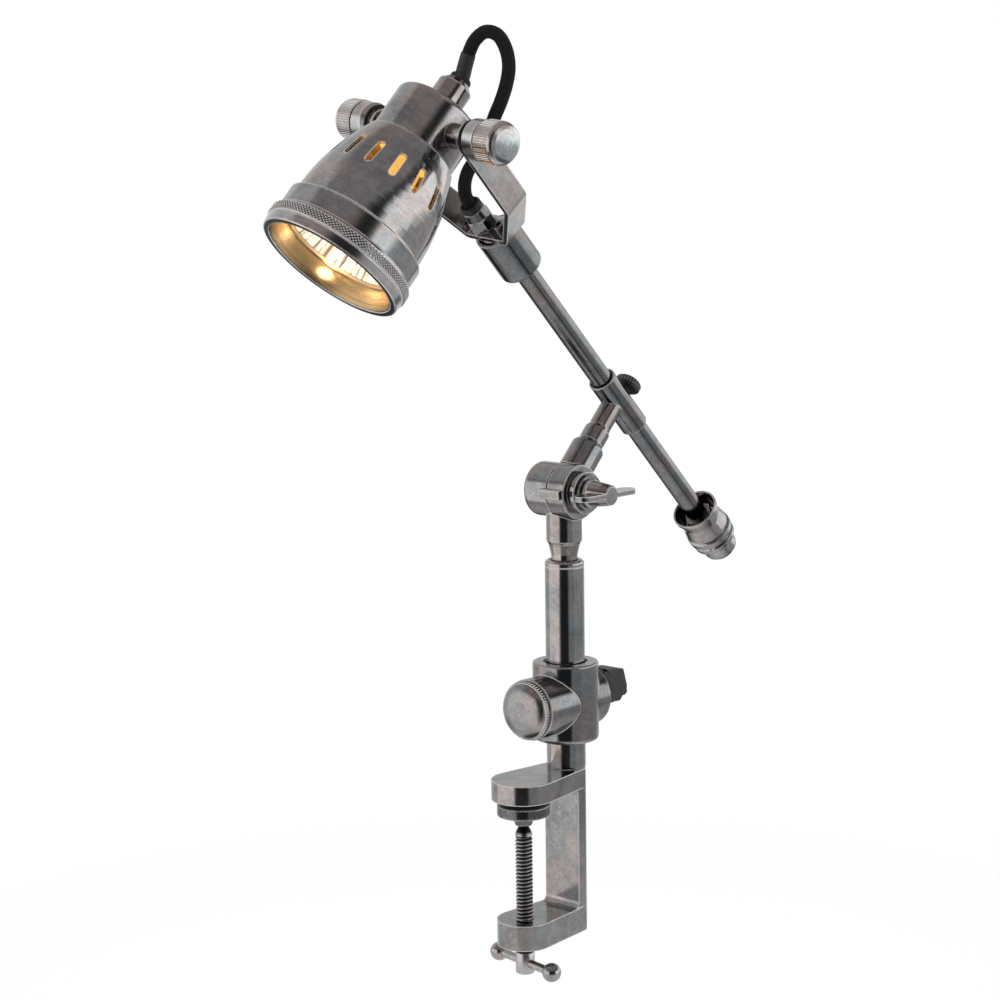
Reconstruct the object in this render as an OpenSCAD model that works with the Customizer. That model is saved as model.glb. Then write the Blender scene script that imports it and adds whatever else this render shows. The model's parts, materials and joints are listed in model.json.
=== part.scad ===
// Clamp-on swing arm desk lamp. Millimetres, +Z up.
// The origin is on the clamp screw's axis, at the underside of the upper jaw,
// where the desk top touches. The jaws open towards -Y.

/* [Clamp frame] */
// Radius of the upper jaw's round nose
upper_jaw_r = 14.4; // [12:0.2:18]
// Thickness of the upper jaw
upper_jaw_t = 9; // [7:0.5:12]
// Radius of the lower jaw's round nose
lower_jaw_r = 12.6; // [11:0.2:16]
// Thickness of the lower jaw
lower_jaw_t = 11.7; // [9:0.1:15]
// Clear height between the jaws
throat_h = 56.4; // [46:0.2:70]
// From the screw axis back to the wall's inner face
throat_depth = 26.8; // [22:0.2:34]
// Width of the clamp's wall
wall_w = 20.2; // [18.6:0.2:24]
// Thickness of the clamp's wall
wall_t = 7.4; // [5:0.2:10]
// Radius inside the clamp, where the jaws meet the wall
throat_fillet = 3; // [1:0.5:5]
// Radius of the frame's outer corners
frame_round = 3; // [1:0.5:4]

/* [Clamp screw] */
// Diameter of the clamp screw
screw_d = 8; // [6:1:10]
// Diameter of the clamp pad
pad_d = 24; // [18:1:28]
// Height of the clamp pad
pad_h = 5; // [4:0.5:7]
// Depth of the rubber's seat in the pad
pad_seat = 2; // [1:0.5:3]
// Gap left between the pad and the upper jaw at rest
pad_gap = 2.6; // [2:0.2:10]
// Height of the round socket below the pad
socket_h = 5; // [4:0.5:7]
// Height of the screw's plain foot, which carries the tommy bar
foot_h = 10; // [8:0.5:14]
// Diameter of the tommy bar
bar_d = 4; // [3:0.5:5]
// From ball to ball of the tommy bar, centre to centre
bar_span = 38; // [30:1:50]
// Diameter of the tommy bar's balls
ball_d = 8.7; // [7:0.1:10]
// Turn of the tommy bar about the screw at rest
bar_turn = -10; // [-90:5:90]

/* [Post] */
// Outside diameter of the post
post_d = 18; // [16:0.5:18]
// Wall of the post's tube
post_wall = 1.6; // [1.2:0.2:2.4]
// Height of the post's top above the desk face
post_top = 105.7; // [95:0.1:125]
// Height of the turned cap in the post's top
cap_h = 3; // [2:0.5:5]
// Diameter of the swivel's neck
neck_d = 12.2; // [9:0.2:12.4]
// Length of neck that shows above the post
neck_show = 2.3; // [1:0.1:5]

/* [Switch housing] */
// Diameter of the upright collar
collar_d = 30.4; // [27:0.2:34]
// Height of the upright collar
collar_h = 36.4; // [32:0.2:44]
// Height of the collar's top above the desk face
collar_top = 58.4; // [52:0.2:70]
// Diameter of the level barrel
barrel_d = 28.1; // [26:0.1:30]
// Reach of the barrel in front of the post
barrel_front = 26; // [24:0.5:32]
// Reach of the barrel behind the post
barrel_rear = 16.4; // [15.6:0.2:22]
// Depth of the knob's well in the barrel
well_depth = 8; // [7:0.5:8.5]
// Wall of the barrel round the knob's well
well_wall = 1.1; // [0.8:0.1:2]
// How far the switch knob's dome stands out of the barrel
knob_dome = 4; // [2:0.5:7]
// Radius of the mains cord's hole
cord_hole_r = 1.6; // [1.4:0.1:1.9]

/* [Knuckle] */
// Height of the knuckle's axis above the desk face
knuckle_z = 137.4; // [130:0.2:160]
// Diameter of the knuckle
knuckle_d = 25; // [22:0.5:28]
// Reach of the lower half, from the seam to its round end
lower_half = 14.8; // [12:0.2:18]
// Reach of the upper half, from the seam to its face
upper_half = 10; // [8:0.2:14]
// Thickness of the friction disc in the seam
disc_t = 0.5; // [0.4:0.1:1]
// Diameter of the cup under the knuckle
cup_d = 16.3; // [14.6:0.1:18]
// Diameter of the pivot bolt
bolt_d = 6; // [5:0.5:8]
// Span of the wing screw's wings
wing_span = 38; // [30:1:46]
// Length of the stop lug
lug_len = 11.8; // [8:0.2:12]
// Height of the stop lug
lug_h = 4.6; // [3:0.2:6]

/* [Stem and sleeve] */
// Lean of the stem behind the upright at rest
stem_lean = 44.5; // [35:0.5:55]
// From the knuckle's axis to the arm rod's axis
stem_reach = 54; // [50:0.5:70]
// Diameter of the stem at its foot
stem_foot_d = 15.6; // [13:0.2:16]
// Diameter of the stem's middle step
stem_mid_d = 12; // [11:0.2:12.6]
// Diameter of the stem's upper step
stem_top_d = 10.2; // [8:0.2:10.8]
// Diameter of the sleeve on the arm rod
sleeve_d = 13; // [12.6:0.2:16]
// Length of the sleeve
sleeve_len = 33.2; // [26:0.2:40]
// How far the sleeve's middle lies behind the stem
sleeve_drop = 2.3; // [0:0.1:5]
// Diameter of the sleeve's thumbscrew head
thumb_d = 12; // [9:0.5:14]

/* [Arm rod] */
// Diameter of the arm rod
rod_d = 10; // [8:0.5:10]
// Wall of the arm rod's tube
rod_wall = 1.4; // [1:0.1:2]
// From the sleeve to the counterweight's rim
tail_reach = 84.2; // [80:0.2:110]
// Diameter of the counterweight's largest ring
weight_d = 23; // [20:0.5:26]
// Diameter of the counterweight's round end
weight_tip_d = 17.2; // [14:0.2:19]
// From the sleeve to the head's tilt axis
head_reach = 175.2; // [175:0.2:210]
// Turn of the arm rod about itself at rest
arm_turn = -9.6; // [-30:0.2:30]

/* [Yoke] */
// Diameter of the adapter between the rod and the yoke
adapter_d = 20; // [17:0.5:23]
// Length of the adapter
adapter_len = 24; // [20:0.5:28]
// From the tilt axis to the yoke's outer base face
yoke_depth = 61; // [58:0.5:75]
// Width between the outer faces of the yoke's arms
yoke_span = 60.6; // [58:0.2:70]
// Width of the yoke's flat base
yoke_base = 26; // [24:0.5:32]
// Length of each straight arm below the tilt axis
yoke_arm = 38.7; // [32:0.1:42]
// Width of the yoke's strip
strip_w = 13; // [12:0.5:18]
// Thickness of the yoke's strip
strip_t = 2.5; // [1.5:0.25:3]
// How far the cable gland and the yoke's screw lie from its middle
base_offset = 5.6; // [5.2:0.1:7]
// Width across the flats of the yoke's cable gland
gland_af = 11; // [9:0.5:11]

/* [Head] */
// Angle from the arm rod's line to the way the lamp points, at rest
head_tilt = 94.9; // [60:0.1:120]
// Diameter of the socket cup
socket_d = 38.6; // [36:0.2:42]
// Reach of the socket cup behind the tilt axis
socket_back = 11.5; // [9:0.5:16]
// Reach of the socket cup in front of the tilt axis
socket_front = 11; // [9:0.5:13]
// Wall of the socket cup
socket_wall = 1.5; // [1:0.1:2]
// Length of the shade's bell
bell_len = 41.4; // [36:0.2:50]
// Diameter at the foot of the bell
bell_d = 59.2; // [56:0.2:66]
// Length of the shade's straight skirt
skirt_len = 9.9; // [8:0.1:14]
// Diameter of the shade's skirt
skirt_d = 63.2; // [61:0.2:70]
// Wall of the shade
shade_wall = 1.2; // [0.8:0.1:1.6]
// Number of vent slots round the bell
slot_count = 15; // [9:1:18]
// Width of each vent slot
slot_w = 3; // [2:0.2:4]
// Length of each vent slot
slot_len = 12; // [8:0.5:15]
// Length of the bezel ring
bezel_len = 10.4; // [8:0.2:14]
// Outside diameter of the bezel ring
bezel_d = 66.2; // [64:0.2:74]
// Diameter of the bezel's opening
mouth_d = 59; // [56:0.2:62]
// Diameter of the lamp
lamp_d = 50; // [48:0.5:51]
// Diameter of the tilt knobs
tilt_knob_d = 17.7; // [14:0.1:20]
// Length of each tilt knob
tilt_knob_len = 21; // [18:0.5:26]
// Diameter of the flex between the yoke and the head
flex_d = 7; // [5:0.5:7]

/* [Hidden] */
$fn = 72;

// Running clearance on the radius, and clearance between pieces that are fixed together
run = 0.06;
seat = 0.05;
// Clearance between pieces of different bodies that must not rub
clear = 0.35;

// Finishes
metal = [0.47, 0.46, 0.44];
dark_metal = [0.3, 0.3, 0.29];
black = [0.07, 0.07, 0.07];
gold = [0.78, 0.6, 0.3];
ceramic = [0.9, 0.89, 0.85];
clear_glass = [0.95, 0.97, 1, 0.4];

// ---- Outlines with round corners ----
function unit(v) = v / norm(v);
// The points of a corner at b, between a and c, rounded to radius r
function corner(a, b, c, r, n) =
    r <= 0 ? [b] :
    let(u = unit(a - b), v = unit(c - b), half = acos(u * v) / 2,
        centre = b + unit(u + v) * r / sin(half),
        from = b + u * r / tan(half) - centre,
        start = atan2(from.y, from.x),
        turn = (cross(u, v) > 0 ? -1 : 1) * (180 - 2 * half))
    [for (i = [0:n]) centre + r * [cos(start + turn * i / n), sin(start + turn * i / n)]];
// An outline from points [x, y, corner radius]
function rounded(p, n = 5) = [
    for (i = [0:len(p) - 1])
        let(a = p[(i + len(p) - 1) % len(p)], b = p[i], c = p[(i + 1) % len(p)])
        each corner([a.x, a.y], [b.x, b.y], [c.x, c.y], b[2], n)
];
// A piece turned about Z from points [radius, height, corner radius]
module turned(p) rotate_extrude() polygon(rounded(p));
// A ring about Z
module ring(r_out, r_in, z0, z1) turned([[r_in, z0, 0], [r_out, z0, 0], [r_out, z1, 0], [r_in, z1, 0]]);
module rod(r, z0, z1) translate([0, 0, z0]) cylinder(r = r, h = z1 - z0);
// Lays Z along X
module along_x() rotate([0, 90, 0]) children();

// ---- Derived places ----
post_y = throat_depth + wall_t / 2;
frame_back = throat_depth + wall_t;
barrel_z = collar_top - collar_h / 2 - 0.2;
knuckle_r = knuckle_d / 2;
half_gap = disc_t / 2 + seat;
tilt_to_base = yoke_depth - strip_t;
adapter_top = head_reach - yoke_depth;
bell_start = socket_front;
bell_end = bell_start + bell_len;
skirt_end = bell_end + skirt_len;
bezel_end = skirt_end + bezel_len;
arm_in = yoke_span / 2 - strip_t;
knob_start = yoke_span / 2 + 1.1;
knob_end = knob_start + tilt_knob_len;

module at_post() translate([0, post_y, 0]) children();
module at_barrel() translate([0, post_y, barrel_z]) rotate([90, 0, 0]) children();
module at_knuckle() translate([0, post_y, knuckle_z]) children();
// Z runs up the stem
module at_stem() at_knuckle() rotate([-stem_lean, 0, 0]) children();
// Z runs along the arm rod towards the head, Y carries on from the stem
module at_sleeve() at_stem() translate([0, 0, stem_reach]) rotate([90, 0, 0]) children();
module at_arm() at_sleeve() rotate([0, 0, arm_turn]) children();
// The tilt axis is X, Z still runs along the arm rod
module at_tilt() at_arm() translate([0, 0, head_reach]) children();
// Z runs out of the lamp's mouth
module at_head() at_tilt() rotate([head_tilt, 0, 0]) children();

// ---- Clamp ----
// A jaw seen from above: a round nose with sides tangent to it, back to the wall
module jaw_plan(r) {
    half = wall_w / 2;
    back = frame_back - frame_round;
    side = atan2(back, half) - acos(r / norm([half, back]));
    circle(r = r);
    polygon([[-r * cos(side), r * sin(side)], [r * cos(side), r * sin(side)], [half, back], [-half, back]]);
    wall_plan(throat_depth / 2);
}
module wall_plan(front) {
    half = wall_w / 2;
    polygon(rounded([
        [-half, front, 0], [half, front, 0], [half, frame_back, frame_round], [-half, frame_back, frame_round],
    ]));
}
module clamp_frame() color(metal) {
    foot = -throat_h - lower_jaw_t;
    fillet = throat_depth - throat_fillet;
    stud_depth = 6;
    difference() {
        intersection() {
            union() {
                linear_extrude(upper_jaw_t) jaw_plan(upper_jaw_r);
                translate([0, 0, foot]) linear_extrude(lower_jaw_t) jaw_plan(lower_jaw_r);
                translate([0, 0, foot]) linear_extrude(upper_jaw_t - foot) wall_plan(throat_depth);
                translate([-wall_w / 2, fillet, -throat_h]) cube([wall_w, throat_fillet + 1, throat_h]);
            }
            rotate([90, 0, 90]) linear_extrude(4 * upper_jaw_r, center = true) polygon(rounded([
                [-2 * upper_jaw_r, foot, 0], [frame_back, foot, frame_round],
                [frame_back, upper_jaw_t, frame_round / 3], [-2 * upper_jaw_r, upper_jaw_t, 0],
            ]));
        }
        rotate([90, 0, 90]) linear_extrude(4 * upper_jaw_r, center = true) polygon(rounded([
            [fillet - 1, -throat_h, 0], [throat_depth, -throat_h, throat_fillet],
            [throat_depth, 0, throat_fillet], [fillet - 1, 0, 0],
        ]));
        rod(screw_d / 2 + run, foot - 1, 1 - throat_h);
        at_post() rod(post_stud_r + seat, upper_jaw_t - stud_depth, upper_jaw_t + 1);
    }
}
pad_top = -pad_gap;
pad_foot = pad_top - pad_h;
socket_foot = pad_foot - socket_h;
socket_r = screw_d / 2 + 0.9;
module clamp_pad() color(metal) {
    pin = screw_d / 4;
    difference() {
        union() {
            turned([
                [0, pad_foot, 0], [pad_d / 2, pad_foot, 0.6], [pad_d / 2, pad_top, 0.5],
                [pad_d / 2 - 1.6, pad_top, 0.5], [pad_d / 2 - 1.6, pad_top - pad_seat, 0], [0, pad_top - pad_seat, 0],
            ]);
            turned([
                [0, socket_foot, 0], [socket_r * 0.75, socket_foot, 1], [socket_r, pad_foot - 1.5, 2],
                [socket_r, pad_foot + seat, 0], [0, pad_foot + seat, 0],
            ]);
        }
        rod(pin + run, socket_foot - 1, pad_foot);
    }
}
module pad_rubber() color(black)
    turned([
        [0, pad_top - pad_seat + 0.02, 0], [pad_d / 2 - 1.6 - seat, pad_top - pad_seat + 0.02, 0],
        [pad_d / 2 - 1.6 - seat, pad_top + 0.4, 0.4], [0, pad_top + 0.4, 0],
    ]);
screw_top = socket_foot - 0.3;
screw_foot = -throat_h - lower_jaw_t - foot_h - 4;
bar_z = screw_foot + foot_h / 2;
module clamp_screw() color(dark_metal) {
    pin = screw_d / 4;
    cone_h = 4;
    difference() {
        union() {
            turned([
                [0, screw_foot, 0], [screw_d / 2 + 0.4, screw_foot, 0.8], [screw_d / 2 + 0.4, screw_foot + foot_h, 0.6],
                [screw_d / 2, screw_foot + foot_h, 0], [screw_d / 2, screw_top - cone_h, 0],
                [pin, screw_top, 0], [pin, pad_foot - 0.3, 0.5], [0, pad_foot - 0.3, 0],
            ]);
        }
        translate([0, 0, bar_z]) rotate([0, 0, bar_turn]) along_x() rod(bar_d / 2 + run, -screw_d, screw_d);
    }
}
module at_bar() translate([0, 0, bar_z]) rotate([0, 0, bar_turn]) along_x() children();
module tommy_bar() color(metal) at_bar() rod(bar_d / 2, -bar_span / 2, bar_span / 2);
module tommy_balls() color(metal) at_bar()
    for (side = [-1, 1]) translate([0, 0, side * bar_span / 2]) difference() {
        sphere(r = ball_d / 2);
        rod(bar_d / 2 + seat, min(0, -side * ball_d), max(0, -side * ball_d));
    }

// ---- Post ----
post_stud_r = 5;
tube_in = post_d / 2 - post_wall;
module post_stud() color(dark_metal) at_post()
    turned([
        [0, upper_jaw_t - 5.8, 0], [post_stud_r, upper_jaw_t - 5.8, 0.6], [post_stud_r, upper_jaw_t + seat, 0],
        [tube_in - seat, upper_jaw_t + seat, 0], [tube_in - seat, upper_jaw_t + 7, 0.8], [0, upper_jaw_t + 7, 0],
    ]);
module post_tube() color(metal) at_post() difference() {
    ring(post_d / 2, tube_in, upper_jaw_t, post_top - cap_h);
    translate([0, 0, barrel_z]) rotate([90, 0, 0]) rod(3, -post_d, post_d);
}
cap_spigot = 8;
module post_cap() color(metal) at_post()
    turned([
        [neck_d / 2 + run, post_top - cap_h - cap_spigot, 0], [tube_in - seat, post_top - cap_h - cap_spigot, 0.5],
        [tube_in - seat, post_top - cap_h + 0.02, 0], [post_d / 2, post_top - cap_h + 0.02, 0],
        [post_d / 2, post_top, 1.6], [neck_d / 2 + 1.2, post_top, 0],
        [neck_d / 2 + run, post_top - 1, 0],
    ]);

// ---- Switch housing ----
well_r = barrel_d / 2 - well_wall;
module switch_housing() color(metal) difference() {
    union() {
        at_post() turned([
            [0, collar_top - collar_h, 0], [collar_d / 2, collar_top - collar_h, 2],
            [collar_d / 2, collar_top, 1], [0, collar_top, 0],
        ]);
        at_barrel() turned([
            [0, -barrel_rear, 0], [barrel_d / 2, -barrel_rear, 1.2],
            [barrel_d / 2, barrel_front, 0.4], [0, barrel_front, 0],
        ]);
    }
    at_post() rod(post_d / 2 + seat, collar_top - collar_h - 1, collar_top + 1);
    at_post() ring(post_d / 2 + 1.3, post_d / 2, collar_top - 1.2, collar_top + 1);
    at_barrel() rod(well_r, barrel_front - well_depth, barrel_front + 1);
    at_barrel() rod(switch_r + seat, 0, barrel_front);
    at_barrel() rod(3, -barrel_rear - 1, 0);
}
switch_r = 7;
module switch_body() color(black) at_barrel() {
    // The rotary switch sits behind the well's floor
    difference() {
        rod(switch_r, post_d / 2 + 0.5, barrel_front - well_depth);
        rod(spindle_r + run, post_d / 2 + 3, barrel_front);
    }
}
spindle_r = 3;
module switch_knob() color(metal) at_barrel() {
    floor_z = barrel_front - well_depth + clear;
    rim = well_r - 0.6;
    turned([
        [0, floor_z, 0], [rim - 1, floor_z, 0], [rim - 1, barrel_front - 2.5, 0], [rim, barrel_front - 2.5, 0.3],
        [rim, barrel_front + 0.2, 0.4], [rim - 0.5, barrel_front + 0.2, 0],
        each [for (a = [75:-15:0])
            [(rim - 0.5) * sin(a), barrel_front + 0.2 + knob_dome * cos(a), 0]],
    ]);
    rod(spindle_r, post_d / 2 + 4, floor_z + 0.1);
}
// The cord grip behind the barrel: a flange, and a cap that closes on the cord
module grip_part(outline, w) at_post() translate([-w / 2, barrel_rear, barrel_z])
    rotate([90, 0, 90]) linear_extrude(w) polygon(rounded(outline));
// The mains cord's hole runs a little below the barrel's axis
module at_outlet() at_barrel() translate([0, -2.5, 0]) children();
module cord_grip() color(black) difference() {
    grip_part([
        [0, -5.3, 0], [12, -5.3, 1], [12, 5, 0], [5, 11.5, 1], [5, 9.4, 0.5], [3.5, 9.4, 0.5],
        [3.5, 11.5, 0.5], [0, 11.5, 0.5],
    ], 12);
    at_outlet() rod(cord_hole_r + 0.8, -barrel_rear - 30, 1 - barrel_rear);
}
module cord_grip_cap() color(black) difference() {
    union() {
        grip_part([[12.1, -5.3, 1], [16, -5.3, 1], [21.3, 0.5, 1], [18.5, 9.5, 1], [6, 11.2, 0], [12.1, 5.1, 0]], 12);
        at_outlet() rod(cord_hole_r + 1.3, -barrel_rear - 25, -barrel_rear - 15);
    }
    at_outlet() rod(cord_hole_r, -barrel_rear - 30, -barrel_rear);
}

// ---- Knuckle ----
cup_foot = post_top + neck_show + 6.4;
spindle_foot = post_top - cap_h - cap_spigot - 4;
module knuckle_space(r) at_knuckle() along_x() rod(r, -half_gap, knuckle_d);
module lower_knuckle() color(metal) difference() {
    union() {
        difference() {
            at_post() turned([
                [0, spindle_foot, 0], [neck_d / 2, spindle_foot, 0.5],
                [neck_d / 2, cup_foot - 6.4, 3], [cup_d / 2 - 0.9, cup_foot - 1.4, 0],
                [cup_d / 2, cup_foot, 0.6], [cup_d / 2, knuckle_z, 0], [0, knuckle_z, 0],
            ]);
            knuckle_space(knuckle_r + clear);
        }
        at_knuckle() along_x() turned([
            [0, -lower_half, 0], [knuckle_r, -lower_half, 3], [knuckle_r, -half_gap, 0.3], [0, -half_gap, 0],
        ]);
    }
    at_knuckle() along_x() rod(bolt_d / 2 + run, 3 - lower_half, 1);
    at_post() rod(2.5, spindle_foot - 1, knuckle_z - knuckle_r - 3);
    at_post() ring(neck_d, neck_d / 2 - 0.8, clip_z, clip_z + clip_t + 0.1);
}
clip_t = 1;
clip_z = post_top - cap_h - cap_spigot - clip_t - 0.25;
module swivel_clip() color(dark_metal) at_post() ring(tube_in - 0.5, neck_d / 2 - 0.75, clip_z + seat, clip_z + clip_t);
module friction_disc() color(black) at_knuckle() along_x()
    ring(knuckle_r - 0.4, bolt_d / 2 + 0.2, -disc_t / 2, disc_t / 2);
module upper_knuckle() color(metal) at_knuckle() along_x()
    turned([
        [bolt_d / 2 + run, half_gap, 0], [knuckle_r, half_gap, 0.3], [knuckle_r, upper_half, 0.6],
        [bolt_d / 2 + run, upper_half, 0],
    ]);
// The lug stands on the upper half's front and overhangs the lower half
lug_over = 2.2;
lug_rise = 2.8;
module stop_lug() color(metal) at_knuckle() difference() {
    translate([-lug_over, 0, 0]) rotate([90, 0, 90]) linear_extrude(lug_len) polygon([
        [1 - knuckle_r, -lug_h / 2], [-knuckle_r - lug_rise + 0.6, -lug_h / 2],
        [-knuckle_r - lug_rise, -lug_h / 2 + 0.6], [-knuckle_r - lug_rise, lug_h / 2 - 0.6],
        [-knuckle_r - lug_rise + 0.6, lug_h / 2], [1 - knuckle_r, lug_h / 2],
    ]);
    along_x() rod(knuckle_r + 0.02, -knuckle_d, knuckle_d);
    along_x() rod(knuckle_r + clear, -knuckle_d, half_gap);
}
washer_end = upper_half + 4;
module cone_washer() color(metal) at_knuckle() along_x()
    turned([
        [bolt_d / 2 + run, upper_half + seat, 0], [knuckle_r - 2.7, upper_half + seat, 0],
        [knuckle_r - 2.7, washer_end, 0.5], [bolt_d / 2 + run, washer_end, 0],
    ]);
module spring_washer() color(dark_metal) at_knuckle() along_x()
    ring(knuckle_r - 4.3, bolt_d / 2 + run, washer_end + seat, washer_end + 1.8);
hub_r = 6.6;
hub_len = 12.4;
wing_w = 8;
wing_t = 2.4;
module wing_screw() color(metal) at_knuckle() along_x() {
    hub = washer_end + 2;
    rod(bolt_d / 2, 5 - lower_half, hub + 1);
    turned([
        [0, hub - 0.15, 0], [hub_r, hub - 0.15, 0.4], [hub_r, hub + 1, 0.4], [hub_r - 0.7, hub + 1.4, 0],
        [hub_r - 1.4, hub + hub_len - 4.4, 0], [hub_r - 2.2, hub + hub_len, 0.8], [0, hub + hub_len, 0],
    ]);
    translate([0, 0, hub + hub_len - wing_w / 2]) rotate([0, 90, 0])
        linear_extrude(wing_t, center = true) {
            square([wing_w, wing_span - wing_w], center = true);
            for (side = [-1, 1]) translate([0, side * (wing_span - wing_w) / 2]) circle(r = wing_w / 2);
        }
}

// ---- Stem and sleeve ----
module stem() color(metal) difference() {
    at_stem() turned([
        [0, knuckle_r / 2, 0], [stem_foot_d / 2, knuckle_r / 2, 0],
        [stem_foot_d / 2, stem_foot_top, 1.5], [stem_mid_d / 2, stem_foot_top + 2.6, 0],
        [stem_mid_d / 2, stem_mid_top, 1], [stem_top_d / 2, stem_mid_top + 1.9, 0],
        [stem_top_d / 2, stem_reach, 0], [0, stem_reach, 0],
    ]);
    at_knuckle() along_x() rod(knuckle_r + 0.02, -knuckle_d, knuckle_d);
    at_knuckle() along_x() rod(knuckle_r + clear, -knuckle_d, half_gap);
    at_sleeve() rod(sleeve_d / 2 + 0.02, -sleeve_len, sleeve_len);
}
stem_foot_top = knuckle_r + 12.1;
stem_mid_top = stem_foot_top + 9.8;
sleeve_low = -sleeve_drop - sleeve_len / 2;
sleeve_high = sleeve_low + sleeve_len;
liner_r = rod_d / 2 + 0.75;
module arm_sleeve() color(metal) at_sleeve() difference() {
    turned([
        [liner_r + run, sleeve_low, 0], [sleeve_d / 2, sleeve_low, 0.4],
        [sleeve_d / 2, sleeve_high, 0.4], [liner_r + run, sleeve_high, 0],
    ]);
    translate([0, 0, -sleeve_drop]) rotate([-90, 0, 0]) cylinder(r = thumb_stud_r + run, h = sleeve_d);
}
module sleeve_liner() color(black) at_sleeve() ring(liner_r, rod_d / 2 + run, sleeve_low + 0.4, sleeve_high - 0.4);
thumb_stud_r = 2;
module sleeve_screw() color(black) at_sleeve() translate([0, 0, -sleeve_drop]) rotate([-90, 0, 0])
    turned([
        [0, liner_r + 0.3, 0], [thumb_stud_r, liner_r + 0.3, 0.3], [thumb_stud_r, sleeve_d / 2 + 2.2, 0],
        [thumb_d / 2 - 0.8, sleeve_d / 2 + 2.2, 0], [thumb_d / 2, sleeve_d / 2 + 3, 0],
        [thumb_d / 2, sleeve_d / 2 + 6, 1], [0, sleeve_d / 2 + 6.8, 0],
    ]);

// ---- Arm rod and counterweight ----
rod_tail = -tail_reach - 9.5;
rod_head = adapter_top - 6;
module arm_rod() color(metal) at_arm() ring(rod_d / 2, rod_d / 2 - rod_wall, rod_tail, rod_head);
module at_weight() at_arm() translate([0, 0, -tail_reach]) mirror([0, 0, 1]) children();
weight_r = weight_d / 2;
recess_depth = 9.6;
weight_len = 34;
dome_h = 5;
// The raised band between the counterweight's two grooves
band_low = 14.6;
band_high = 19;
module counterweight() color(metal) at_weight() turned([
    [0, recess_depth, 0], [weight_r - 2.6, recess_depth, 1], [weight_r - 1.1, 0, 0.3],
    [weight_r - 0.2, 0, 0.3], [weight_r - 0.2, 1.6, 0.5], [weight_r - 1.6, band_low / 2 - 0.7, 4],
    [weight_r - 0.4, band_low - 1.8, 0.6], [weight_r - 0.4, band_low - 1.2, 0.3],
    [weight_r - 1.4, band_low - 0.6, 0.2], [weight_r - 1.4, band_low, 0.2], [weight_r, band_low + 0.8, 0.6],
    [weight_r, band_high - 0.8, 0.8], [weight_r - 1.4, band_high, 0.2], [weight_r - 1.4, band_high + 0.6, 0.2],
    [weight_r - 0.5, band_high + 1.4, 0.6], [weight_r - 0.6, band_high + 3.8, 0.8],
    [weight_tip_d / 2 - 0.2, band_high + 5.2, 0.2], [weight_tip_d / 2, band_high + 6, 0],
    [weight_tip_d / 2, weight_len - dome_h, 0],
    each [for (a = [75:-15:0]) [weight_tip_d / 2 * sin(a), weight_len - dome_h + dome_h * cos(a), 0]],
]);
nut_h = 5.6;
module weight_nut() color(dark_metal) at_weight() difference() {
    nut_foot = recess_depth - nut_h;
    rotate([0, 0, 15]) translate([0, 0, nut_foot]) cylinder(d = rod_d + 4.4, h = nut_h - 0.02, $fn = 6);
    rod(rod_d / 2 + seat, nut_foot - 1, recess_depth - 0.1);
}

// ---- Yoke ----
adapter_foot = adapter_top - adapter_len;
module head_adapter() color(metal) at_arm() difference() {
    turned([
        [0, adapter_foot, 0], [adapter_d / 2, adapter_foot, 2], [adapter_d / 2, adapter_top, 0.3],
        [0, adapter_top, 0],
    ]);
    rod(rod_d / 2 + seat, adapter_foot - 1, adapter_top - 5.9);
    // A shallow dish round the yoke's base shows as a dark crescent
    ring(adapter_d / 2 - 1.2, adapter_d / 2 - 3, adapter_top - 2.5, adapter_top + 1);
    translate([0, 0, adapter_foot + adapter_len / 2]) rotate([-90, 0, 0]) cylinder(r = 2 + seat, h = adapter_d);
    translate([base_offset, 0, 0]) rod(yoke_screw_r + seat, adapter_top - 5.5, adapter_top + 1);
    translate([-base_offset, 0, 0]) rod(3, adapter_top - 7, adapter_top + 1);
}
module adapter_grub() color(dark_metal) at_arm() translate([0, 0, adapter_foot + adapter_len / 2]) rotate([-90, 0, 0])
    difference() {
        rod(2, rod_d / 2 + 0.2, adapter_d / 2 - 0.4);
        translate([0, 0, adapter_d / 2 - 2]) cylinder(d = 2.3, h = 3, $fn = 6);
    }
// The strip's outer line, from one arm down round the base and up the other arm
yoke_line = [
    [-yoke_span / 2, strip_w / 2], [-yoke_span / 2, -yoke_arm], [-yoke_base / 2, -yoke_depth],
    [yoke_base / 2, -yoke_depth], [yoke_span / 2, -yoke_arm], [yoke_span / 2, strip_w / 2],
];
function left_of(d) = [-d.y, d.x];
// The point at b moved in by the strip's thickness
function inset(a, b, c, t) =
    let(n1 = left_of(unit(b - a)), n2 = left_of(unit(c - b))) b + t * (n1 + n2) / (1 + n1 * n2);
module yoke() color(metal) at_tilt() difference() {
    last = len(yoke_line) - 1;
    bend = 1.2;
    intersection() {
        rotate([90, 0, 0]) linear_extrude(strip_w, center = true) polygon(rounded(concat(
            [for (i = [0:last]) [yoke_line[i].x, yoke_line[i].y, i == 0 || i == last ? 0 : bend + strip_t]],
            [[arm_in, strip_w / 2, 0]],
            [for (i = [last - 1:-1:1])
                let(p = inset(yoke_line[i - 1], yoke_line[i], yoke_line[i + 1], strip_t)) [p.x, p.y, bend]],
            [[-arm_in, strip_w / 2, 0]]
        )));
        along_x() linear_extrude(2 * yoke_span, center = true) {
            circle(r = strip_w / 2);
            translate([0, -strip_w / 2]) square([2 * yoke_depth, strip_w]);
        }
    }
    along_x() rod(pivot_r + run, -yoke_span, yoke_span);
    translate([base_offset, 0, -2 * yoke_depth]) cylinder(r = yoke_screw_r + seat, h = 2 * yoke_depth - yoke_arm);
    translate([-base_offset, 0, -2 * yoke_depth]) cylinder(r = 3, h = 2 * yoke_depth - yoke_arm);
}
yoke_screw_r = 1.5;
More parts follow.
